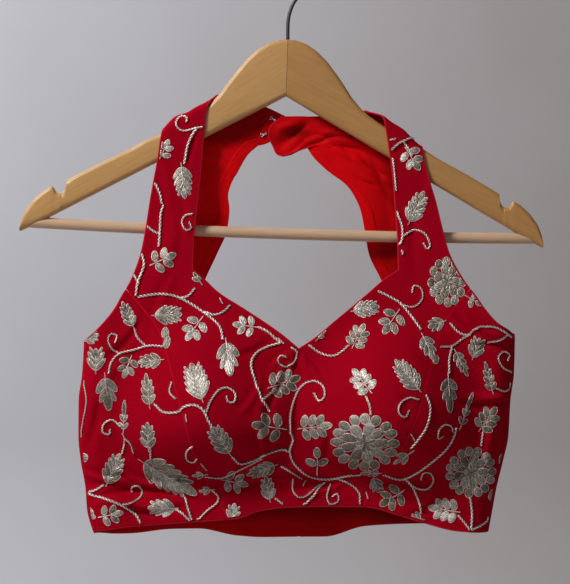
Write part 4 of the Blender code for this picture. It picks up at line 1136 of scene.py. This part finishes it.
# Vines: thickness, then across and down of each point; hooked ends are part of the route
vines = (
    (0.6, 186, 414, 186, 418, 187, 422), (0.5, 220, 298, 221, 301, 223, 304),
    (0.6, 201, 463, 204, 467, 207, 470), (0.5, 303, 486, 304, 483, 306, 480),
    (0.6, 366, 492, 367, 495, 368, 499), (0.6, 411, 434, 413, 437, 415, 441),
    (0.7, 278, 338, 281, 341, 284, 344),
    (0.8, 204, 127, 196, 128, 184, 131, 177, 127, 177, 120, 182, 116, 187, 118, 186, 122),
    (1, 197, 128, 191, 137, 187, 148, 184, 164), (1, 155, 183, 160, 194, 162, 204),
    (1, 164, 205, 161, 214, 160, 232, 159, 247), (0.9, 147, 226, 153, 231, 160, 234),
    (0.8, 193, 214, 185, 216, 182, 223, 186, 230, 191, 228, 189, 222),
    (1, 142, 254, 144, 266, 138, 282, 136, 296), (0.9, 134, 275, 139, 284),
    (1, 138, 297, 160, 294, 180, 298, 203, 312, 219, 326, 223, 340),
    (0.9, 180, 298, 188, 296, 195, 288), (0.9, 205, 312, 214, 315, 223, 312, 230, 305),
    (0.9, 134, 328, 138, 338, 146, 346),
    (0.95, 164, 347, 150, 346, 134, 350, 120, 354, 112, 362, 109, 374),
    (0.75, 120, 354, 112, 349, 108, 340, 111, 334, 117, 336, 115, 343),
    (1, 258, 327, 268, 332, 276, 339, 281, 343),
    (1, 281, 343, 268, 347, 256, 354, 251, 364, 254, 378, 259, 392, 262, 400, 270, 412),
    (0.9, 261, 401, 268, 395, 275, 389),
    (0.75, 291, 347, 297, 353, 293, 363, 285, 367, 278, 362, 281, 356, 287, 357),
    (0.85, 290, 432, 290, 415, 295, 397, 303, 385, 314, 381, 323, 386, 325, 396, 319, 401, 314,
     393),
    (0.85, 206, 412, 211, 400, 219, 390, 228, 388, 235, 394, 234, 402, 228, 402, 226, 396),
    (1, 155, 404, 164, 412, 178, 412, 184, 407, 194, 405, 203, 410, 208, 420, 213, 428),
    (0.8, 172, 382, 170, 392, 176, 399),
    (0.8, 121, 427, 112, 420, 104, 424, 103, 432, 109, 434, 110, 429),
    (0.8, 123, 433, 125, 440, 122, 454), (0.8, 125, 438, 131, 444, 134, 453),
    (0.75, 193, 446, 187, 451, 187, 459, 193, 462, 197, 458), (0.9, 151, 448, 151, 460),
    (1, 232, 456, 240, 463, 253, 460, 268, 453, 282, 449, 290, 452),
    (0.9, 205, 476, 222, 477, 242, 468, 262, 458),
    (0.9, 290, 432, 293, 440, 290, 452, 296, 466, 310, 476, 328, 479, 346, 476, 361, 474),
    (0.9, 281, 466, 292, 472, 302, 478),
    (0.75, 293, 479, 293, 491, 300, 497, 309, 494, 318, 486, 325, 482),
    (0.9, 325, 482, 315, 494, 303, 507), (0.9, 184, 494, 188, 508, 192, 521),
    (0.9, 175, 509, 183, 514, 190, 521), (0.8, 212, 490, 218, 496, 217, 503, 207, 511, 197, 521),
    (1, 87, 492, 105, 499, 122, 505, 135, 514, 141, 523),
    (0.75, 122, 504, 134, 502, 142, 494, 139, 486, 132, 487, 132, 493),
    (0.9, 87, 492, 96, 490, 104, 485), (0.8, 275, 498, 283, 504),
    (0.8, 84, 381, 87, 400, 84, 420, 81, 437),
    (0.9, 309, 345, 320, 353, 333, 356, 343, 351, 349, 345),
    (1, 378, 291, 392, 298, 401, 304, 411, 316, 421, 330),
    (0.75, 400, 304, 413, 307, 422, 299, 421, 289, 414, 286, 412, 293),
    (0.9, 366, 396, 370, 406, 371, 415),
    (0.75, 419, 400, 409, 398, 400, 404, 399, 413, 405, 417, 409, 410),
    (0.95, 426, 395, 430, 408, 427, 425, 420, 437, 411, 448),
    (0.9, 450, 323, 458, 332, 468, 335, 477, 328, 495, 327, 511, 337),
    (0.8, 440, 347, 452, 346, 462, 339, 470, 335), (0.8, 487, 342, 500, 340, 508, 334),
    (0.9, 452, 347, 449, 360, 449, 374),
    (0.75, 513, 373, 503, 368, 498, 358, 503, 352, 509, 355, 507, 361),
    (0.85, 496, 388, 505, 391, 513, 382),
    (0.75, 452, 432, 451, 427, 445, 425, 439, 430, 438, 438, 443, 436),
    (1, 456, 428, 452, 440, 444, 451, 430, 463, 414, 474, 400, 479, 383, 474),
    (0.9, 405, 478, 413, 488, 419, 502, 421, 514),
    (0.75, 407, 480, 416, 488, 427, 489, 433, 481, 430, 473, 423, 473, 421, 480),
    (0.85, 336, 478, 350, 484, 359, 493, 360, 504),
    (0.75, 331, 484, 327, 495, 330, 504, 338, 501, 337, 494, 332, 497), (0.9, 483, 432, 481, 446),
    (0.95, 470, 497, 472, 514, 471, 531), (0.85, 471, 530, 481, 525, 491, 516),
    (0.85, 458, 515, 464, 522, 470, 530), (0.9, 387, 140, 396, 139),
    (0.9, 391, 150, 399, 143, 413, 137), (0.8, 403, 141, 408, 148, 412, 156),
    (0.8, 392, 158, 394, 175, 394, 191), (0.9, 396, 211, 402, 226, 402, 240, 399, 245),
    (0.8, 403, 236, 414, 230, 425, 234, 430, 245, 427, 249, 423, 243), (0.9, 402, 250, 403, 255))
stitchLook = {"lift": 0.08, "plyRadius": 0.62, "plyAway": 0.66, "plyPitch": 6.4, "plySides": 6,
              "step": 0.6, "padHeight": 0.8, "outline": 0.3, "outlineSides": 5,
              "outlineLift": 0.2, "outlineOut": 1.03, "padRound": 20, "padRings": 4,
              "outlineSteps": 26, "point": 0.1}
# Lobes and petals, as shares of the motif's length or of their own, and lean in degrees;
# a deep leaf has two pairs of lobes
leafLook = {"span": 0.60, "tip": 0.34, "deepSpan": 0.44, "deepTip": 0.48, "foot": 0.46,
            "lean": 42, "leanLess": 18, "out": 0.52, "deepLobe": 0.72, "fill": 1.4,
            "slim": 0.46}
sprigLook = {"long": 0.35, "short": 0.31, "slim": 0.62, "foot": 0.40, "run": 0.56, "lean": 74,
             "leanLess": 26, "out": 0.68}
# Rings of a flower: place, length, fill and point of its petals
flowerRings = ((0.82, 0.35, 0.86, -0.05), (0.46, 0.48, 0.92, -0.2), (0.17, 0.34, 1.0, -0.3))
draw = np.random.default_rng(7)


def padRow(middle, offset, degrees, length, width, point=stitchLook["point"], squeeze=1.0):
    # one petal: middle of its motif, its own offset from there, direction, size, how
    # pointed its tip is, and how much the motif is flattened in height
    return [*middle, *offset, degrees, length, width, point, squeeze]


def leaning(middle, foot, degrees, away, size, width):
    # a petal whose middle lies away from its foot, in its own direction
    out = polar(degrees, away)
    return padRow(middle, (foot[0] + out[0], foot[1] + out[1]), degrees, size, width)


def leafPads(middle, degrees, length, share, pairs):
    # pairs of lobes that start on the vein and lean out, under one lobe at the tip: a leaf
    # of two pairs is cut deep, like a palm; one of more pairs has short close lobes
    look = leafLook
    deep = pairs == 2
    span = look["deepSpan" if deep else "span"] * length
    tip = look["deepTip" if deep else "tip"] * length
    rows = []
    for k in range(pairs):
        t = (k + 0.5) / pairs
        foot = polar(degrees, span * t - look["foot"] * length)
        lean = look["lean"] - look["leanLess"] * t
        lobe = look["deepLobe"] if deep else 0.56 + 0.14 * math.sin(2.2 * t + 0.6)
        size = share * length * lobe
        width = min(look["fill"] * (span / pairs) * math.sin(math.radians(lean)),
                    look["slim"] * size)
        for turn in (-lean, lean):
            rows.append(leaning(middle, foot, degrees + turn, look["out"] * size, size, width))
    rows.append(padRow(middle, polar(degrees, (length - tip) / 2), degrees, tip,
                       look["slim"] * tip * min(share / 0.6, 1.2)))
    return rows


def sprigPads(middle, degrees, length, pairs):
    # separate oval petals about a short stem
    look = sprigLook
    size = length * look["long" if pairs < 3 else "short"]
    width = size * look["slim"]
    rows = [padRow(middle, polar(degrees, (length - size) / 2), degrees, size, width)]
    for k in range(pairs):
        t = (k + 0.5) / pairs
        foot = polar(degrees, length * (look["run"] * t - look["foot"]))
        lean = look["lean"] - look["leanLess"] * t
        for turn in (-lean, lean):
            rows.append(leaning(middle, foot, degrees + turn, look["out"] * size, size, width))
    return rows


def flowerPads(middle, radiusX, radiusZ, outer, inner):
    # round petals outside, long ones within and fine ones in the middle
    squeeze = radiusZ / radiusX
    rows = []
    for count, (place, long, fill, point) in zip((outer, inner, inner), flowerRings):
        for k in range(count):
            a = (360.0 * (k + 0.5 * (place < 0.3)) + 24.0 * math.sin(k * 2.3)) / count
            width = 2 * math.pi * radiusX * place / count * fill
            rows.append(padRow(middle, polar(a, radiusX * place), a, radiusX * long, width,
                               point, squeeze))
    rows.append(padRow(middle, (0.0, 0.0), 0.0, radiusX * 0.14, radiusX * 0.13, 0.0, squeeze))
    return rows


def motifMiddle(u, v):
    return [float(part[0]) for part in frontXz([u], [v])]


shineRows = [(*motifMiddle(u, v), reach * view["mmPerPixel"], amount)
             for u, v, reach, amount in shines]


def shine(x, z):
    # amount * exp(-d^2 / reach^2) summed over the places of painted highlight and painted shade
    return sum(amount * np.exp(-((x - atX) ** 2 + (z - atZ) ** 2) / reach ** 2)
               for atX, atZ, reach, amount in shineRows)


def padPlace(rows, unitA, unitB):
    # place (along L/2, beside W/2 (1 - point along)) in a pad to x and z on the front
    midX, midZ, offX, offZ, degrees, length, width, point, squeeze = rows.T[:, :, None]
    along = unitA[None] * length / 2
    beside = unitB[None] * (1 - point * unitA[None]) * width / 2
    a = np.radians(degrees)
    dx = offX + along * np.cos(a) - beside * np.sin(a)
    dz = offZ + along * np.sin(a) + beside * np.cos(a)
    x, z = keepInside(midX + dx, midZ + dz * squeeze)
    return x, z, along, beside


def addPads(batch, rows):
    # a low dome over an oval: (r cos a, r sin a), height H sqrt(1 - r^2)
    look = stitchLook
    around = look["padRound"]
    a = 2 * math.pi * np.arange(around) / around
    ring = np.concatenate([[0.35], np.sin(np.linspace(0.5, 1.0, look["padRings"])
                                          * math.pi / 2)])
    unitA, unitB = [np.append(np.outer(ring, wave), [0.0, 0.0])
                    for wave in (np.cos(a), np.sin(a))]
    unitH = np.append(np.repeat(np.sqrt(np.clip(1 - ring ** 2, 0, 1)), around), [1.0, -0.35])
    count = len(ring) * around
    unitH[count - around:count] = -0.1
    x, z, along, beside = padPlace(rows, unitA, unitB)
    lift = np.broadcast_to(look["lift"] + look["padHeight"] * unitH[None], x.shape)
    points, normals = onFront(x, z, lift)
    index = np.arange(count).reshape(len(ring), around)
    after = np.roll(index, -1, axis=1)
    quads = np.stack([index[:-1], index[1:], after[1:], after[:-1]], -1).reshape(-1, 4)
    faces = np.concatenate([quads, fan(count, index[0], after[0]),
                            fan(count + 1, after[-1], index[-1])])
    number = np.arange(len(rows))[:, None]
    every = (faces[None] + len(unitA) * number[..., None]).reshape(-1, 4)
    uv = np.stack([along + 7 * number, beside], -1).reshape(-1, 2)
    # a random tone for each petal, plus painted highlights and painted shade
    shade = draw.uniform(0.2, 0.55, len(rows))[:, None] + shine(x, z)
    batch.add(points.reshape(-1, 3), every, uv * mm, shade.reshape(-1))


def addOutlines(batch, rows):
    # a thin cord laid round each pad
    look = stitchLook
    a = 2 * math.pi * np.arange(look["outlineSteps"]) / look["outlineSteps"]
    x, z, along, beside = padPlace(rows, np.cos(a) * look["outlineOut"],
                                   np.sin(a) * look["outlineOut"])
    points, normals = onFront(x, z, np.full(x.shape, look["lift"] + look["outlineLift"]))
    # its tone wavers along it; painted highlights and painted shade are added
    bright = shine(x, z)
    for k in range(len(rows)):
        shade = 0.72 + 0.3 * np.sin(a * 5 + k * 2.4) * np.cos(a * 2 + k) + bright[k]
        batch.tube(points[k], normals[k], look["outline"], look["outlineSides"], shade, True)


def addCord(batch, xz, scale=1.0, shade=0.0):
    # two plies round a common line: offset = away * (normal cos p + side sin p);
    # a ply has a painted highlight where it comes to the top and painted shade where it dives
    look = stitchLook
    radius = look["plyRadius"] * scale
    x, z = keepInside(xz[:, 0], xz[:, 1])
    path, normals = onFront(x, z, np.full(x.shape, look["lift"] + radius))
    beside = np.cross(unit(np.gradient(path, axis=0)), normals)
    for ply in range(2):
        phase = (2 * math.pi * lengthAlong(path) / (look["plyPitch"] * scale)
                 + math.pi * ply)[:, None]
        line = path + look["plyAway"] * scale * (0.5 * normals * np.cos(phase)
                                                 + beside * np.sin(phase))
        # the painted highlights and painted shade of the shine table are added too
        batch.tube(line, normals, radius, look["plySides"],
                   0.55 + 0.5 * np.cos(phase[:, 0] - 0.5) + shade + shine(x, z))


def makeEmbroidery():
    # pads and their outlines as joined meshes for each half, and the vines as one joined mesh
    rows = []
    for u, v, *rest in leaves:
        rows += leafPads(motifMiddle(u, v), *rest)
    for u, v, *rest in sprigs:
        rows += sprigPads(motifMiddle(u, v), *rest)
    for u, v, *rest in flowers:
        rows += flowerPads(motifMiddle(u, v), *rest)
    for u, v, *rest in petals:
        rows.append(padRow(motifMiddle(u, v), (0.0, 0.0), *rest))
    rows = np.array(rows, float)
    isLeft = rows[:, 0] < cut["centreX"]
    kinds = (("pads", addPads, makeZari("satin")),
             ("outlines", addOutlines, makeZari("outline")))
    for side, pick in zip(sides, (isLeft, ~isLeft)):
        for kind, addTo, material in kinds:
            batch = Batch()
            addTo(batch, rows[pick])
            finishPiece(batch.build("embroidery_" + kind + "_" + side, material),
                        "front_centre")
    cords = Batch()
    for thickness, *route in vines:
        route = np.stack(frontXz(route[0::2], route[1::2]), -1)
        addCord(cords, curveThrough(route, stitchLook["step"]), thickness)
    stems = [(row[:4], 0.52, 0.10, 0.5) for row in leaves]
    stems += [(row[:4], 0.46, 0.14, 0.55) for row in sprigs]
    for (u, v, degrees, length), back, ahead, thickness in stems:
        middle, step = np.array(motifMiddle(u, v)), np.array(polar(degrees, length))
        line = np.array([middle - step * back, middle + step * ahead])
        addCord(cords, curveThrough(line, stitchLook["step"]), thickness, -0.1)
    finishPiece(cords.build("embroidery_vines", makeZari("cord")), "front_centre")
    print("embroidery pads", len(rows), "cord points", cords.count)


makeEmbroidery()

# edge stitching; "rise" is the height of a stitch at its start, quarter, middle and so on
sewing = {"in": 3.1, "long": 1.9, "gap": 0.8, "radius": 0.11, "sides": 4, "hemUp": 12.0,
          "at": (0.0, 0.2, 0.5, 0.8, 1.0), "rise": (-0.25, 0.02, 0.10, 0.02, -0.25)}


def runStitches(batch, path, normals):
    # short threads along a line: each runs from k (long + gap) to k (long + gap) + long
    run = lengthAlong(path)
    starts = np.arange(0, run[-1] - sewing["long"], sewing["long"] + sewing["gap"])
    at = starts[:, None] + sewing["long"] * np.array(sewing["at"])
    upward = rowsAt(normals, at, run)
    points = rowsAt(path, at, run) + upward * np.array(sewing["rise"])[None, :, None]
    for line, up in zip(points, upward):
        batch.tube(line, up, sewing["radius"], sewing["sides"], 0.5)


def edgeLines():
    # lines of edge stitching on the outer face: surface, side, q and z along each
    inward = sewing["in"]
    for side in sides:
        z = np.arange(-152.0, cut["neckCornerZ"] + 2.0, -1.0)
        yield "front", side, girth(smooth(strapInner, z, side), z, side) - inward, z
        z = np.arange(cut["neckCornerZ"], cut["neckPointZ"] + 1.0, -1.0)
        q = girth(smooth(neckline, z, side), z, side) - inward * 1.25
        yield "front", side, q, z - inward * 0.4
        z = np.arange(-160.0, cut["armholeTop"][side] + 4.0, -1.0)
        q = girth(smooth(armhole, z, side), z, side) + inward
        yield "front", side, q, z
        yield "back", side, q + 2.0, z
        z = np.arange(cut["keyholeHeadZ"] - 4.0, cut["keyholeFootZ"] + 3.0, -1.0)
        yield "back", side, girth(smooth(keyhole, z, side), z, side) - inward * 1.1, z
        x = np.arange(20.0, 160.0, 1.0) * (-1 if side == "left" else 1) + cut["centreX"] / 2
        for surface in ("front", "back"):
            z = smooth(hem, x, surface)
            yield surface, side, girth(x, z, side), z + sewing["hemUp"]


def makeStitches():
    batch = Batch()
    for line in edgeLines():
        runStitches(batch, *onCloth(*line))
    return batch.build("edge_stitches", makeThread())


finishPiece(makeStitches(), "front_centre")
print("edge stitches")

# hanger; the wire's stem is a line of (x from the apex, z)
hanger = {"thick": 12.0, "round": 4.0, "cornerSteps": 7, "perSpan": 5, "crisp": 40.0,
          "barRadius": 4.7, "barHalf": 214.0, "barEndZ": -162.0, "barSag": 3.0,
          "barSides": 40, "barStations": 60, "barCrisp": 50.0, "wireRadius": 1.5,
          "loopRadius": 20.0, "wireSides": 16, "loopFrom": -28.0, "loopTo": 212.0,
          "loopKnots": 13, "wireStep": 1.2}
hookStem = (
    (0, -74.5), (0, -66), (0.4, -58), (2.2, -50), (5.9, -42), (12, -35.4), (17.4, -31))


def makeArm(side):
    # rounded upright sections along the arm; the corner is stretched by the slope
    sign = -1.0 if side == "left" else 1.0
    table = np.array(armOutline)
    place = np.arange(len(table))
    fine = np.linspace(0, len(table) - 1, (len(table) - 1) * hanger["perSpan"] + 1)
    x, top, low = [np.interp(fine, place, column) for column in table.T]
    x[0] = 0.01
    stretch = woodStretch(tilted(sign * x, top)[0])
    radius = np.minimum(hanger["round"] * stretch, (top - low) / 2 - 0.05)
    ring = []
    for cy, cz, first in ((1, 1, 0), (-1, 1, 90), (-1, -1, 180), (1, -1, 270)):
        a = np.radians(first + np.linspace(0, 90, hanger["cornerSteps"]))[None, :]
        y = (cy * (hanger["thick"] / 2 - hanger["round"]) + hanger["round"] * np.cos(a)
             + 0 * x[:, None])
        middle = (top - radius if cz > 0 else low + radius)[:, None]
        ring.append(np.stack([y, middle + radius[:, None] * np.sin(a)], -1))
    y, z = np.moveaxis(np.concatenate(ring, axis=1), -1, 0)
    x, z = tilted(sign * x[:, None], z)
    points = np.stack([x, y, z], -1)
    faces = tubeFaces(*y.shape)
    if side == "left":
        faces = faces[:, ::-1]
    ends = points[[0, -1]].mean(axis=1)
    points = np.concatenate([points.reshape(-1, 3), ends])
    return makeTriangled("hanger_arm_" + side + "_wood", points, faces,
                         makeWood("arm wood " + side), np.zeros((len(points), 2)), None,
                         hanger["crisp"])


def upright(x, z):
    # a path in the plane of the hanger
    return np.stack([x, 0 * x, z], -1)


def makeBar():
    # a round bar with a slight sag: middle z = endZ - sag (1 - (x/half)^2)
    x = np.linspace(-hanger["barHalf"], hanger["barHalf"], hanger["barStations"])
    z = hanger["barEndZ"] - hanger["barSag"] * (1 - (x / hanger["barHalf"]) ** 2)
    path = upright(*tilted(x, z))
    batch = Batch()
    batch.tube(path, np.full(path.shape, (0.0, 0.0, 1.0)), hanger["barRadius"],
               hanger["barSides"])
    return batch.build("hanger_bar_wood", makeWood("bar wood"), hanger["barCrisp"])


def makeHook():
    # stem, then a round loop of wire about (0, -loopRadius)
    radius = hanger["loopRadius"] + hanger["wireRadius"]
    stem = np.array(hookStem) + (apex[0], 0.0)
    a = np.radians(np.linspace(hanger["loopFrom"], hanger["loopTo"], hanger["loopKnots"]))
    loop = np.stack([radius * np.cos(a), -hanger["loopRadius"] + radius * np.sin(a)], -1)
    path = upright(*curveThrough(np.concatenate([stem, loop]), hanger["wireStep"]).T)
    batch = Batch()
    batch.tube(path, np.full(path.shape, (0.0, -1.0, 0.0)), hanger["wireRadius"],
               hanger["wireSides"])
    return batch.build("hanger_hook_wire", makeSteel("hook wire"))


for side in sides:
    finishPiece(makeArm(side), "arm_wood", "hanger_arm_" + side)
finishPiece(makeBar(), "bar_wood", "hanger_bar")
finishPiece(makeHook(), "hook_wire", "hanger_hook")
print("hanger")

# hooks and eyes: name, x, z, width, height, turn in degrees
fastenings = (("neck_hook_upper", -15.0, -141.8, 5.6, 3.0, -28.0),
              ("neck_hook_lower", -22.7, -155.0, 5.6, 3.0, 20.0),
              ("band_hook_upper", 7.0, -423.0, 9.0, 4.0, 0.0),
              ("band_hook_middle", 7.0, -441.0, 9.0, 4.0, 0.0),
              ("band_hook_lower", 7.0, -459.0, 9.0, 4.0, 0.0))
# Upper half of a hook's bent wire, in shares of its width and height, and its bar's wire
hookBend = (
    (-0.5, 0.16), (-0.44, 0.42), (-0.3, 0.46), (-0.2, 0.26), (-0.1, 0.14), (0.2, 0.14),
    (0.46, 0.1), (0.5, 0))
wireBar = ((0.40, -0.46), (0.34, 0.0), (0.40, 0.46))
wireLook = {"radius": 0.36, "sides": 8, "step": 0.25, "inside": 2.25, "neckInside": 0.4,
            "fill": 0.92, "barForward": 0.3}


def makeFastening(name, x, z, width, height, degrees):
    # a bent wire hook that holds a straight bar of wire
    inside = wireLook["inside"]
    if name.startswith("neck"):
        inside += cut["facingWall"] + cut["facingGap"] + wireLook["neckInside"]
    at = np.array([x, z])[:, None]
    y = surfacePoint("back", "left", girth(*at, "left"), at[1])[0, 1] - inside
    batch = Batch()
    bend = np.concatenate([hookBend, np.array(hookBend)[-2::-1] * (1, -1)])
    for route, fillX, forward in ((bend, wireLook["fill"], 0.0),
                                  (wireBar, 1.0, wireLook["barForward"])):
        route = np.array(route) * (width * fillX, height * wireLook["fill"])
        dx, dz = curveThrough(route, wireLook["step"]).T
        px, pz = turned(dx, dz, -degrees)
        line = np.stack([x + px, np.full(len(px), y - forward), z + pz], -1)
        batch.tube(line, np.full(line.shape, (0.0, -1.0, 0.0)), wireLook["radius"],
                   wireLook["sides"])
    return batch.build(name + "_wire", fastenerWire)


fastenerWire = makeSteel("fastener wire")
for row in fastenings:
    finishPiece(makeFastening(*row), "fastener", row[0])
print("hooks and eyes")

# Flat width and length of each sheet in metres, its cut area, and what it rests on
sheetFlat = {"front_centre": (0.26, 0.41, 0.0487, "arms"),
             "side_front": (0.125, 0.215, 0.0187, "front_centre"),
             "back": (0.19, 0.395, 0.0395, "arms"),
             "facing_left": (0.03, 0.33, 0.0032, "back_left"),
             "facing_right": (0.03, 0.285, 0.0026, "back_right")}
for name, item in clothPieces.items():
    width, length, area, under = sheetFlat[next(key for key in sheetFlat if key in name)]

# studio
# the paper's colour falls from painted light on the left to painted shade on the right
studio = {"floorZ": -1150.0, "wallY": 3400.0, "bend": 500.0, "half": 5000.0, "near": -3600.0,
          "high": 3000.0, "litLeftColour": rgb(0.61, 0.61, 0.65),
          "shadedRightColour": rgb(0.465, 0.42, 0.405), "run": 2.05, "from": 0.35,
          "air": rgb(0.80, 0.82, 0.86), "airLight": 0.16}
# Lights: name, place, aim, size, power, colour
lights = (("key", (-1.45, -1.2, 1.3), (0.0, 0.0, -0.33), 0.6, 51.0, (1.0, 0.98, 0.95)),
          ("fill", (0.3, -2.4, 0.2), (0.0, 0.0, -0.33), 0.6, 1.5, (0.94, 0.97, 1.0)),
          ("wall", (-2.05, 1.6, 2.0), (-0.3, 3.4, -0.15), 1.9, 76.0, (0.96, 0.98, 1.0)))


def makeStage():
    # a pale sweep: flat floor, quarter round, upright wall; its paper goes from painted light,
    # cool, on the left to painted shade, warm, on the right: share = from + x / run, with a soft
    # cloud
    a = np.linspace(0, math.pi / 2, 24)
    y = np.array([studio["near"], *(studio["wallY"] + studio["bend"] * (np.sin(a) - 1)),
                  studio["wallY"]])
    z = np.array([studio["floorZ"], *(studio["floorZ"] + studio["bend"] * (1 - np.cos(a))),
                  studio["high"]])
    x = np.array([-studio["half"], studio["half"]])[:, None]
    points = np.stack(np.broadcast_arrays(x, y, z), -1).reshape(-1, 3)
    look = Finish("pale studio paper", rough=0.9, specular=0.2)
    place = look.place()
    cloud = look.noise(place, 3.0, 2.0, 0.5)
    share = (look.parts(place)[0] / studio["run"] + cloud * 0.3 + studio["from"]).clipped()
    look.feed("Base Color", look.mixed(share, studio["litLeftColour"], studio["shadedRightColour"]))
    faces = gridQuads(np.arange(len(points)).reshape(2, -1), False)
    makeMesh("studio_floor", points, faces, [look.material])


def addLight(name, place, aim, size, power, colour):
    data = bpy.data.lights.new(name, "AREA")
    data.size = size
    data.energy = power
    data.color = colour
    item = placed(bpy.data.objects.new(name, data))
    item.location = place
    dx, dy, dz = np.subtract(aim, place)
    item.rotation_euler = (math.atan2(math.hypot(dx, dy), -dz), 0.0, math.atan2(-dx, dy))


def makeStudio():
    makeStage()
    for row in lights:
        addLight(*row)
    world = bpy.data.worlds.new("studio")
    world.use_nodes = True
    air = world.node_tree.nodes["Background"].inputs
    air["Color"].default_value = studio["air"]
    air["Strength"].default_value = studio["airLight"]
    bpy.context.scene.world = world
    data = bpy.data.cameras.new("camera")
    data.sensor_width = view["sensor"]
    data.lens = view["lens"]
    camera = placed(bpy.data.objects.new("camera", data))
    camera.location = (view["x"] * mm, -view["distance"] * mm, view["z"] * mm)
    camera.rotation_euler = (math.pi / 2, 0.0, 0.0)
    bpy.context.scene.camera = camera
    bpy.context.scene.view_settings.view_transform = "Standard"


makeStudio()
print("studio")
